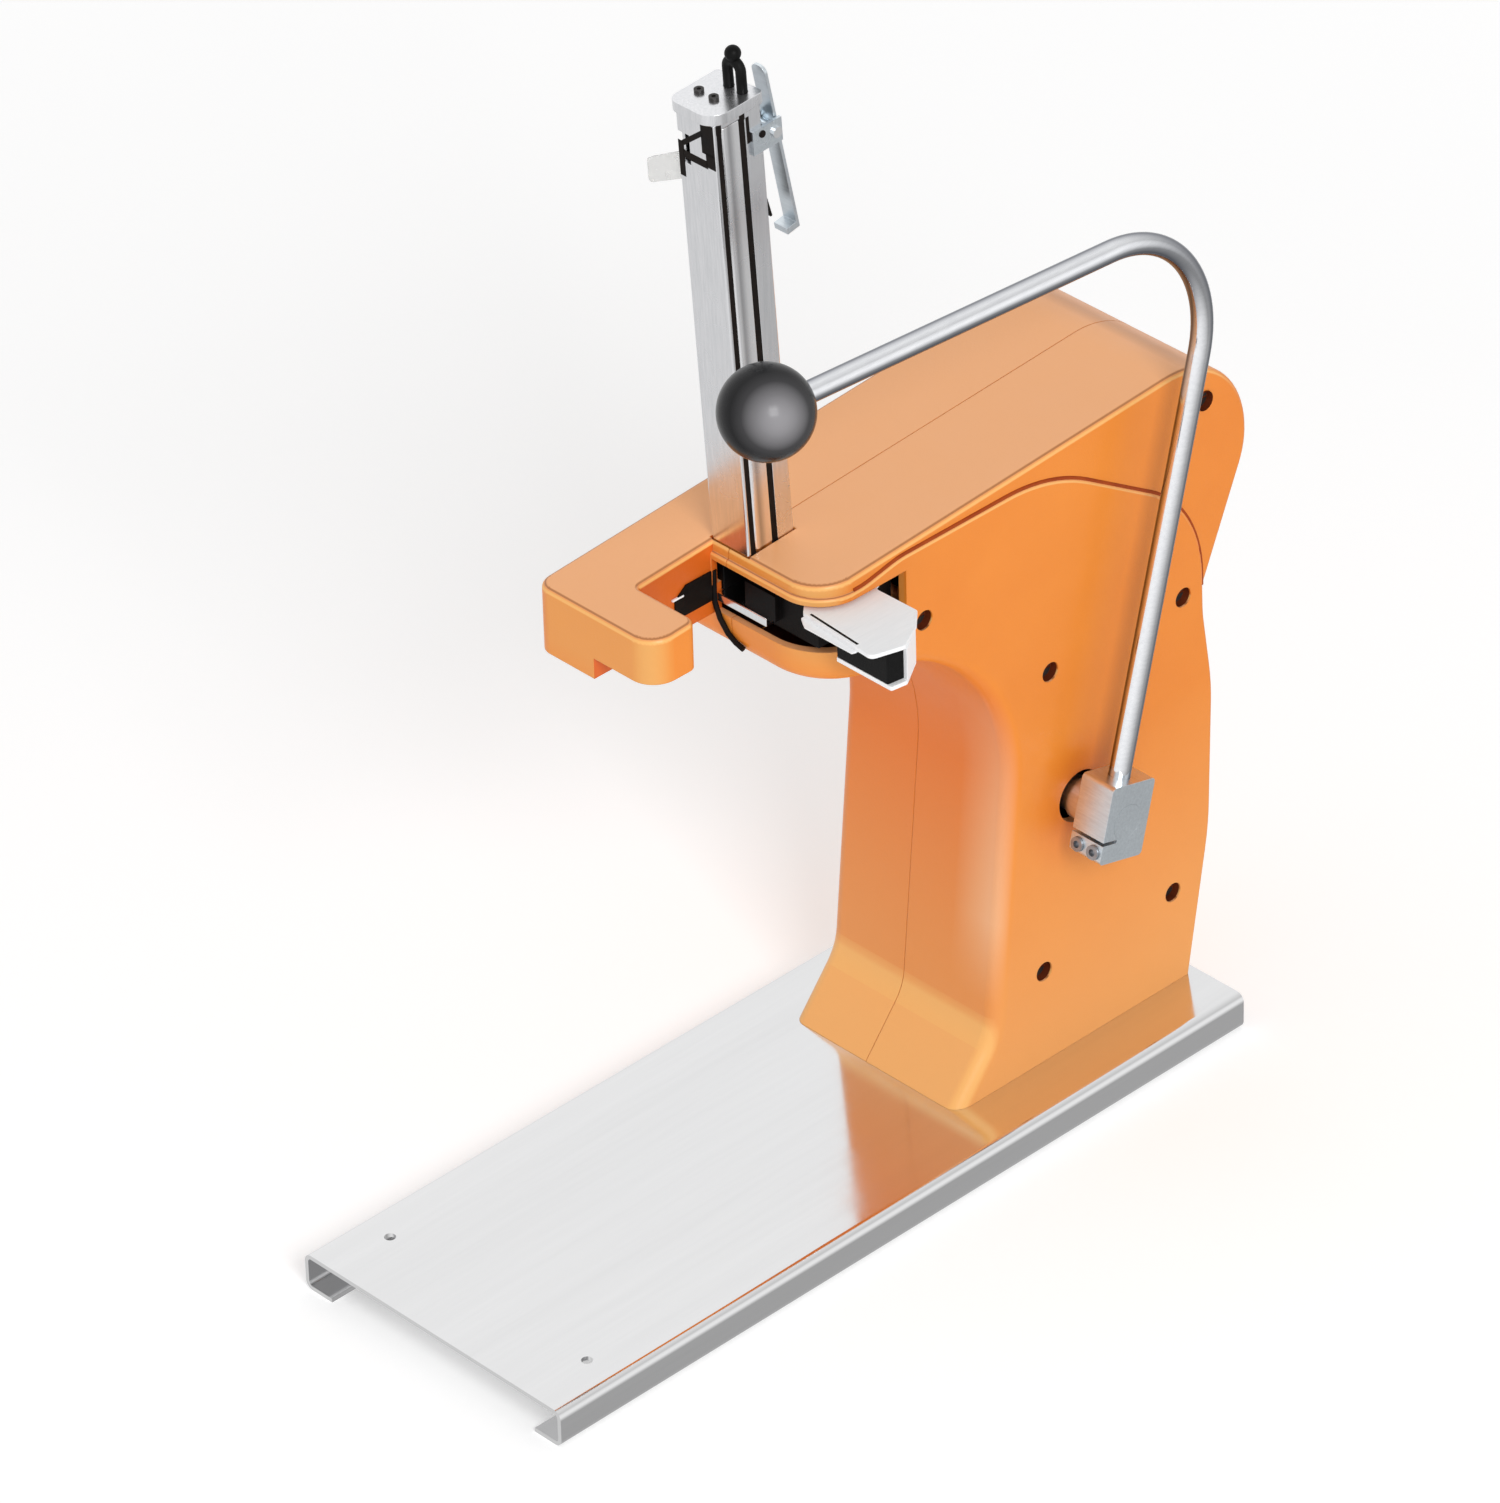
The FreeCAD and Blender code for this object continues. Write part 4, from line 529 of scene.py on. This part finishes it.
def beadAlong(name, runs, radius, body, finishName):
    # a round bead along one or more runs of points
    curve = bpy.data.curves.new(name, "CURVE")
    curve.dimensions = "3D"
    curve.bevel_depth = radius
    curve.bevel_resolution = 4
    curve.use_fill_caps = True
    for run in runs:
        spline = curve.splines.new("POLY")
        spline.points.add(len(run) - 1)
        for point, place in zip(spline.points, run):
            point.co = (*place, 1)
    guide = bpy.data.objects.new(name + "_guide", curve)
    scene.collection.objects.link(guide)
    bpy.context.view_layer.update()
    graph = bpy.context.evaluated_depsgraph_get()
    solid = bpy.data.meshes.new_from_object(guide.evaluated_get(graph))
    shape = bmesh.new()
    shape.from_mesh(solid)
    bpy.data.objects.remove(guide)
    bpy.data.meshes.remove(solid)
    bmesh.ops.remove_doubles(shape, verts=shape.verts, dist=weldGap / 2)
    bmesh.ops.recalc_face_normals(shape, faces=shape.faces)
    addPiece(shape, name, body, finishName, smoothAngle=60)


def slab(shape, low, high, place, turn=0.0, edge=0.00008):
    # a thin block between two corners in millimetres, turned about its own middle
    low, high = Vector(low) / 1000, Vector(high) / 1000
    size = Matrix.Diagonal((*(high - low), 1))
    turned = Matrix.Rotation(math.radians(turn), 4, "Y")
    spot = place @ Matrix.Translation((low + high) / 2) @ turned @ size
    made = bmesh.ops.create_cube(shape, size=1.0, matrix=spot)
    breakEdges(shape, list({e for v in made["verts"] for e in v.link_edges}), edge, steps=1)


# handle: bent rod, ball and clamp block

# the rod leans back, turns over a bend and runs to the ball with a slight rise (degrees and metres)
rodShape = dict(lean=14.3, reach=0.281, bend=0.058, run=0.2636, rise=3.55, radius=0.00475,
                start=0.0105, shortOfMiddle=0.0065, sides=40, bendSteps=28)
shaftMiddle = middleOf("drive_shaft")
rodFoot = Vector((middleOf("handle_rod").x, shaftMiddle.y, shaftMiddle.z))


def rodDirections():
    lean = math.radians(rodShape["lean"])
    rise = math.radians(rodShape["rise"])
    return Vector((0, math.sin(lean), math.cos(lean))), Vector((0, -math.cos(rise), math.sin(rise)))


def bentRod():
    up, ahead = rodDirections()
    half = up.angle(-ahead) / 2
    cornerCut = rodShape["bend"] / math.tan(half)
    inward = (ahead - up).normalized()
    centre = rodFoot + up * rodShape["reach"] + inward * (rodShape["bend"] / math.sin(half))
    upright = up.to_track_quat("Z", "Y").to_matrix().to_4x4()
    shape = bmesh.new()
    bmesh.ops.create_circle(shape, cap_ends=True, segments=rodShape["sides"],
                            radius=rodShape["radius"],
                            matrix=Matrix.Translation(rodFoot + up * rodShape["start"]) @ upright)

    def push(face, move):
        grown = bmesh.ops.extrude_face_region(shape, geom=face)["geom"]
        bmesh.ops.translate(shape, verts=only(bmesh.types.BMVert, grown), vec=move)
        bmesh.ops.delete(shape, geom=face, context="FACES_KEEP_BOUNDARY")
        return only(bmesh.types.BMFace, grown)

    face = push(list(shape.faces), up * (rodShape["reach"] - cornerCut - rodShape["start"]))
    turned = bmesh.ops.spin(shape, geom=face, cent=centre, axis=(1, 0, 0), dvec=(0, 0, 0),
                            angle=math.pi - 2 * half, steps=rodShape["bendSteps"],
                            use_duplicate=False)
    bmesh.ops.delete(shape, geom=face, context="FACES_KEEP_BOUNDARY")
    push(only(bmesh.types.BMFace, turned["geom_last"]),
         ahead * (rodShape["run"] - cornerCut - rodShape["shortOfMiddle"]))
    bmesh.ops.recalc_face_normals(shape, faces=shape.faces)
    piece = addPiece(shape, "rod_bent", "handle", "chrome")
    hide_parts("handle_rod")


def ballHandle():
    look = dict(radius=0.020, flat=0.007, rim=0.0007, play=0.0002, socket=0.004, round=72, down=48)
    up, ahead = rodDirections()
    middle = rodFoot + up * rodShape["reach"] + ahead * rodShape["run"]
    turn = (-ahead).to_track_quat("Z", "Y").to_matrix().to_4x4()
    shape = bmesh.new()
    bmesh.ops.create_uvsphere(shape, u_segments=look["round"], v_segments=look["down"],
                              radius=look["radius"], matrix=Matrix.Translation(middle) @ turn)
    flatPlace = middle - ahead * math.sqrt(look["radius"] ** 2 - look["flat"] ** 2)
    bmesh.ops.bisect_plane(shape, geom=everyPart(shape), plane_co=flatPlace, plane_no=-ahead,
                           clear_outer=True)
    cutRing = [e for e in shape.edges if e.is_boundary]
    filled = bmesh.ops.edgeloop_fill(shape, edges=cutRing)["faces"]
    ring = look["flat"] - rodShape["radius"] - look["play"]
    bmesh.ops.inset_individual(shape, faces=filled, thickness=ring)
    sunk = bmesh.ops.extrude_face_region(shape, geom=filled)["geom"]
    bmesh.ops.translate(shape, verts=only(bmesh.types.BMVert, sunk), vec=ahead * look["socket"])
    bmesh.ops.delete(shape, geom=filled, context="FACES_KEEP_BOUNDARY")
    breakEdges(shape, sharpEdges(shape, angle=25), look["rim"], steps=3)
    bmesh.ops.recalc_face_normals(shape, faces=shape.faces)
    piece = addPiece(shape, "ball_handle", "handle", "ball", smoothAngle=60)
    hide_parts("ball_knob")


bentRod()
ballHandle()
softCopy("clamp_block", "block", 0.0007)
print("handle made")


# housing: panel lines and dark sleeves in the screw holes, both painted shade

def panelLine(nodeName, planeX, outward):
    # painted shade: a dark line where the raised panel meets the narrower upper body, along the
    # solid's hollow edges
    look = dict(radius=0.0011, lowest=0.214, sink=0.0003, hollow=-0.5, flatWithin=0.00003, tooFew=5)
    shape = copyOf(nodeName)
    links = {}
    for edge in shape.edges:
        if len(edge.link_faces) != 2 or edge.calc_face_angle_signed(0) > look["hollow"]:
            continue
        ends = [tuple(round(c, 6) for c in v.co) for v in edge.verts]
        if all(abs(co[0] - planeX) < look["flatWithin"] and co[2] > look["lowest"] for co in ends):
            links.setdefault(ends[0], set()).add(ends[1])
            links.setdefault(ends[1], set()).add(ends[0])
    shape.free()
    runs = []
    while links:
        start = next((p for p in sorted(links) if len(links[p]) == 1), sorted(links)[0])
        run = [start]
        while True:
            onward = [p for p in sorted(links.get(run[-1], ())) if p not in run]
            if not onward:
                break
            run.append(onward[0])
        for point in run:
            links.pop(point, None)
        if len(run) > look["tooFew"]:
            runs.append([Vector((p[0] - outward * look["sink"], p[1], p[2])) for p in run])
    print("panel line of", nodeName, [len(run) for run in runs])
    beadAlong(nodeName + "_line", runs, look["radius"], "frame", "grooveShade")


def looseParts(nodeName):
    # lowest and highest corners of each separate solid in a node
    shape = copyOf(nodeName)
    seen = set()
    boxes = []
    for first in shape.verts:
        if first in seen:
            continue
        seen.add(first)
        group = [first]
        for vert in group:
            for edge in vert.link_edges:
                other = edge.other_vert(vert)
                if other not in seen:
                    seen.add(other)
                    group.append(other)
        low = Vector([min(v.co[i] for v in group) for i in range(3)])
        high = Vector([max(v.co[i] for v in group) for i in range(3)])
        boxes.append((low, high))
    shape.free()
    return boxes


def holeShadeSleeves(nodeName, outward):
    # painted shade: short dark sleeves in the screw holes, from the screw head to just below the
    # surface
    look = dict(radius=0.00455, wall=0.0004, length=0.0034, overHead=0.0006, floor=0.0004,
                backRing=0.0002)
    shape = bmesh.new()
    for low, high in looseParts(nodeName):
        head = high.x if outward > 0 else low.x
        middle = (low + high) / 2
        middle.x = head + outward * (look["length"] / 2 - look["overHead"])
        made = bmesh.ops.create_cone(shape, cap_ends=True, cap_tris=False, segments=32,
                                     radius1=look["radius"], radius2=look["radius"],
                                     depth=look["length"],
                                     matrix=Matrix.Translation(middle) @ quarterTurn)
        around = {f for v in made["verts"] for f in v.link_faces}
        caps = [f for f in around if len(f.verts) > 4]  # the sides have four corners
        outer = [f for f in caps if f.normal.x * outward > 0]
        inner = [f for f in caps if f.normal.x * outward < 0]
        bmesh.ops.inset_individual(shape, faces=outer, thickness=look["wall"])
        bmesh.ops.translate(shape, verts=list(outer[0].verts),
                            vec=(-outward * (look["length"] - look["floor"]), 0, 0))
        bmesh.ops.inset_individual(shape, faces=inner, thickness=look["backRing"])
    bmesh.ops.recalc_face_normals(shape, faces=shape.faces)
    addPiece(shape, nodeName + "_wells", "frame", "hole", smoothAngle=40)


panelLine("housing_right", planeX=0.043, outward=1)
panelLine("housing_left", planeX=-0.054, outward=-1)
holeShadeSleeves("housing_screws_right", outward=1)
holeShadeSleeves("housing_screws_left", outward=-1)
print("housing lines and wells made")


# magazine, lever and slot: broken edges, then the fine dark and bright details, among them painted
# shade and a painted glint

softWidths = {
    "magazine_channel": ("aluminium", 0.0003), "magazine_cap": ("aluminium", 0.0006),
    "magazine_rail": ("rail", 0.0003), "latch_lever": ("block", 0.0003),
    "latch_bracket": ("block", 0.0003), "trim_lever": ("satin", 0.0003),
    "lever_grip": ("grip", 0.0006), "trim_blade": ("satin", 0.0001),
    "track_right": ("oxide", 0.0005), "track_left": ("oxide", 0.0005),
    "track_floor": ("bright", 0.0004), "ram_tip": ("tool", 0.0004), "anvil": ("tool", 0.0006),
}
for nodeName, (finishName, width) in softWidths.items():
    softCopy(nodeName, finishName, width)
print("soft edges made")

# the magazine stands square to the sloping arm: across, deep and high from its middle
magazinePlace = dict(middle=(-0.0105, -0.01805, 0.3153), lean=3.5)


def onMagazine():
    lean = math.radians(magazinePlace["lean"])
    return Matrix.Translation(magazinePlace["middle"]) @ Matrix.Rotation(lean, 4, "X")


def magazineShades():
    # painted shade: black slabs in both grooves, on the line under the cap and in the open window
    # of the stop, as lowest and highest corners in millimetres on the magazine
    look = dict(
        grooves=[((9.6, -11.6, -10), (10.7, -8.9, 204.8)), ((9.6, 0.9, -10), (10.7, 3.6, 204.8)),
                 ((10.8, -11.9, 203.5), (11.08, -8.9, 207.9)),
                 ((10.8, 0.9, 203.5), (11.08, 3.9, 207.9))],
        front=[((-11.02, -13.08, 206.7), (4.0, -12.8, 207.9)),
               ((3.2, -13.08, 193.0), (10.4, -12.8, 207.9)),
               ((5.2, -13.08, 187.0), (10.4, -12.8, 194.0)),
               ((-10.6, -13.08, 177.0), (-7.4, -12.8, 193.8)),
               ((-8.0, -13.08, 186.2), (6.0, -12.8, 190.0))],
        backCorner=[((4.0, 12.6, 206.8), (11.08, 13.06, 207.9)),
                    ((10.8, 3.8, 206.8), (11.08, 13.0, 207.9)),
                    ((10.8, 4.2, 191.6), (11.08, 6.0, 204.0))],
        slanted=((-9.6, -13.08, 196.6), (5.6, -12.8, 198.9)), slant=-38.6)
    shape = bmesh.new()
    place = onMagazine()
    for low, high in look["grooves"] + look["front"] + look["backCorner"]:
        slab(shape, low, high, place)
    slab(shape, *look["slanted"], place, look["slant"])
    addPiece(shape, "magazine_shades", "frame", "blackAndPaintedShade", smoothAngle=30)


def latchRivet():
    look = dict(place=(0.01265, 0.0112, 0.1935), foot=0.0017, top=0.0015, height=0.0008, rim=0.0002)
    shape = bmesh.new()
    spot = onMagazine() @ Matrix.Translation(look["place"]) @ quarterTurn
    bmesh.ops.create_cone(shape, cap_ends=True, segments=28, radius1=look["foot"],
                          radius2=look["top"], depth=look["height"], matrix=spot)
    breakEdges(shape, sharpEdges(shape, angle=34), look["rim"], steps=2, clamp=False)
    addPiece(shape, "bracket_rivet", "frame", "blackAndPaintedShade", smoothAngle=40)


def latchLeaf():
    # black leaf spring between the channel and the latch, bent over at its top
    look = dict(place=(0, 0.0165, 0.160), lean=12.5, edge=0.0002,
                leaf=((-1.4, -0.55, -13.2), (5.2, 0.55, 13.2)),
                bend=((-1.4, -2.6, 12.0), (5.2, -0.4, 13.2)))
    shape = bmesh.new()
    lean = Matrix.Rotation(math.radians(look["lean"]), 4, "X")
    place = onMagazine() @ Matrix.Translation(look["place"]) @ lean
    for low, high in (look["leaf"], look["bend"]):
        slab(shape, low, high, place, edge=look["edge"])
    addPiece(shape, "latch_leaf", "frame", "blackAndPaintedShade", smoothAngle=30)


def neckGuard():
    # black wire guard at the slot's inner end, clear of the ram and bent away under the lip
    look = dict(radius=0.0012, bends=[(-19.3, -32.3, 300.0), (-19.3, -32.5, 290.0),
                                      (-18.7, -32.7, 284.5), (-15.9, -32.8, 278.0),
                                      (-11.4, -32.8, 272.6), (-6.8, -32.8, 270.0),
                                      (-2.6, -32.6, 268.6)])
    wire = [Vector(p) / 1000 for p in look["bends"]]
    beadAlong("neck_guard", [wire], look["radius"], "frame", "blackAndPaintedShade")


def slotGuide():
    # black guide plate on the slot's inner wall, with a bright strip in front as a painted glint
    # along that edge
    look = dict(wall=-19.45, thickness=0.85, edge=0.0001,
                strip=((-19.4, -56.4, 295.6), (-18.4, -50.1, 296.5)),
                outline=[(-54.8, 295.2), (-48.4, 300.2), (-34.2, 300.2), (-34.2, 286.0),
                         (-50.5, 286.0), (-54.8, 289.5)])
    shape = bmesh.new()
    wall = look["wall"] / 1000
    corners = [shape.verts.new((wall, y / 1000, z / 1000)) for y, z in look["outline"]]
    face = shape.faces.new(corners)
    grown = bmesh.ops.extrude_face_region(shape, geom=[face])["geom"]
    bmesh.ops.translate(shape, verts=only(bmesh.types.BMVert, grown),
                        vec=(look["thickness"] / 1000, 0, 0))
    bmesh.ops.recalc_face_normals(shape, faces=shape.faces)
    breakEdges(shape, sharpEdges(shape, angle=20), look["edge"], steps=2)
    addPiece(shape, "slot_guide", "frame", "blackAndPaintedShade", smoothAngle=30)
    strip = bmesh.new()
    slab(strip, *look["strip"], Matrix.Identity(4))
    addPiece(strip, "guide_strip", "frame", "satin", smoothAngle=30)


def flushScrews():
    # the blade's screws, with their heads let into the plate
    look = dict(proud=0.00004, smooth=40)
    shape = copyOf("blade_screws")
    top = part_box("trim_lever")[1].z + look["proud"]
    cut = bmesh.ops.bisect_plane(shape, geom=everyPart(shape), plane_co=(0, 0, top),
                                 plane_no=(0, 0, 1), clear_outer=True)["geom_cut"]
    bmesh.ops.holes_fill(shape, edges=only(bmesh.types.BMEdge, cut))
    body = nodes["blade_screws"]["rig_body"]
    piece = addPiece(shape, "blade_screws_flush", body, "satin", look["smooth"])
    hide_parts("blade_screws")


def leverLine():
    # narrow black joint between the lever's plate and its blade
    look = dict(start=(0.0375, -0.0325, 0.3043), stop=(0.0668, -0.0347, 0.3043),  # in metres
                halfWidth=0.55, below=0.2, above=0.15)  # in millimetres
    start, stop = Vector(look["start"]), Vector(look["stop"])
    turn = Matrix.Rotation(math.atan2(stop.y - start.y, stop.x - start.x), 4, "Z")
    half = (stop - start).length * 1000 / 2
    shape = bmesh.new()
    slab(shape, (-half, -look["halfWidth"], -look["below"]),
         (half, look["halfWidth"], look["above"]), Matrix.Translation((start + stop) / 2) @ turn)
    addPiece(shape, "lever_joint", "trim_lever", "blackAndPaintedShade", smoothAngle=30)


magazineShades()
latchRivet()
latchLeaf()
neckGuard()
slotGuide()
flushScrews()
leverLine()
print("magazine and lever lines made")


# room: floor, light and camera

def paleFloor():
    # the glow grows with distance, so that the far floor melts into the backdrop
    look = dict(paper=(0.92, 0.92, 0.92), rough=0.8, shine=0.1, halfSize=6,
                glow=(0.28, 0.47, 0.7, 2.5))
    shape = bmesh.new()
    bmesh.ops.create_grid(shape, x_segments=8, y_segments=8, size=look["halfSize"])
    mesh = bpy.data.meshes.new("paleFloor")
    shape.to_mesh(mesh)
    shape.free()
    floor = bpy.data.objects.new("paleFloor", mesh)
    scene.collection.objects.link(floor)
    material, tree, shader = startMaterial("palePaper", look["paper"], metal=0, rough=look["rough"])
    shader.inputs["Specular IOR Level"].default_value = look["shine"]
    shader.inputs["Emission Color"].default_value = (1, 1, 1, 1)
    distance = calculate(tree, "ShaderNodeVectorMath", "LENGTH", onPiece(tree))
    tree.links.new(spread(tree, distance, *look["glow"]), shader.inputs["Emission Strength"])
    mesh.materials.append(material)
    floor.visible_glossy = False  # the metal mirrors the room and not the paper


def softRoom():
    # brighter above and to the left; fill is the share of it that lights matt surfaces, and the
    # white cards are only mirrored: towards, where they begin, how bright
    room = dict(middle=0.72, slope=(-0.25, 0, 0.23), fill=0.645,
                cards=[((0.60, -0.77, -0.22), 0.35, 0.45), ((0.79, 0.61, 0.0), 0.83, 0.5)])
    world = bpy.data.worlds.new("softRoom")
    world.use_nodes = True
    tree = world.node_tree
    background = tree.nodes["Background"]
    background.inputs["Color"].default_value = (1, 1, 1, 1)
    outward = tree.nodes.new("ShaderNodeTexCoord").outputs["Generated"]
    ray = tree.nodes.new("ShaderNodeLightPath")
    slope = calculate(tree, "ShaderNodeVectorMath", "DOT_PRODUCT", outward, room["slope"])
    level = calculate(tree, "ShaderNodeMath", "ADD", slope, room["middle"])
    lit = times(tree, level, spread(tree, ray.outputs["Is Diffuse Ray"], 1, room["fill"], 0, 1))
    for way, start, bright in room["cards"]:
        towards = calculate(tree, "ShaderNodeVectorMath", "DOT_PRODUCT", outward, way)
        card = times(tree, spread(tree, towards, 0, bright, start, 1), ray.outputs["Is Glossy Ray"])
        lit = calculate(tree, "ShaderNodeMath", "ADD", lit, card)
    seen = tree.nodes.new("ShaderNodeMix")
    seen.inputs["B"].default_value = 1.0  # the backdrop itself stays pale
    tree.links.new(ray.outputs["Is Camera Ray"], seen.inputs["Factor"])
    tree.links.new(lit, seen.inputs["A"])
    tree.links.new(seen.outputs["Result"], background.inputs["Strength"])
    scene.world = world


def keyPanel():
    look = dict(place=(3.2, -1.5, 2.6), aim=(0, 0, 0.2), side=1.5, watts=80)
    data = bpy.data.lights.new("keyPanel", "AREA")
    data.shape = "SQUARE"
    data.size = look["side"]
    data.energy = look["watts"]
    lamp = bpy.data.objects.new("keyPanel", data)
    scene.collection.objects.link(lamp)
    lamp.location = look["place"]
    towards = Vector(look["aim"]) - Vector(look["place"])
    lamp.rotation_euler = towards.to_track_quat("-Z", "Y").to_euler()


def studioCamera():
    # degrees and metres; the lens is given in pixels of a frame whose longer side is 1503
    look = dict(azimuth=46.762, elevation=34.393, roll=-1.646, distance=3.998458,
                target=(-0.020846, -0.013513, 0.2), lens=9637.953, frameSide=1503, sensor=36,
                near=0.1, far=50)
    azimuth = math.radians(look["azimuth"])
    elevation = math.radians(look["elevation"])
    roll = math.radians(look["roll"])
    back = Vector((math.sin(azimuth) * math.cos(elevation),
                   -math.cos(azimuth) * math.cos(elevation), math.sin(elevation)))
    right = Vector((math.cos(azimuth), math.sin(azimuth), 0))
    up = back.cross(right)
    tiltedRight = right * math.cos(roll) + up * math.sin(roll)
    tiltedUp = up * math.cos(roll) - right * math.sin(roll)
    camera = bpy.data.objects.new("camera", bpy.data.cameras.new("camera"))
    scene.collection.objects.link(camera)
    camera.data.lens = look["lens"] / look["frameSide"] * look["sensor"]
    camera.data.sensor_width = look["sensor"]
    camera.data.clip_start = look["near"]
    camera.data.clip_end = look["far"]
    turn = Matrix((tiltedRight, tiltedUp, back)).transposed().to_4x4()
    place = Vector(look["target"]) + back * look["distance"]
    camera.matrix_world = Matrix.Translation(place) @ turn
    scene.camera = camera


paleFloor()
softRoom()
keyPanel()
studioCamera()
scene.view_settings.view_transform = "Standard"
print("room and camera set")
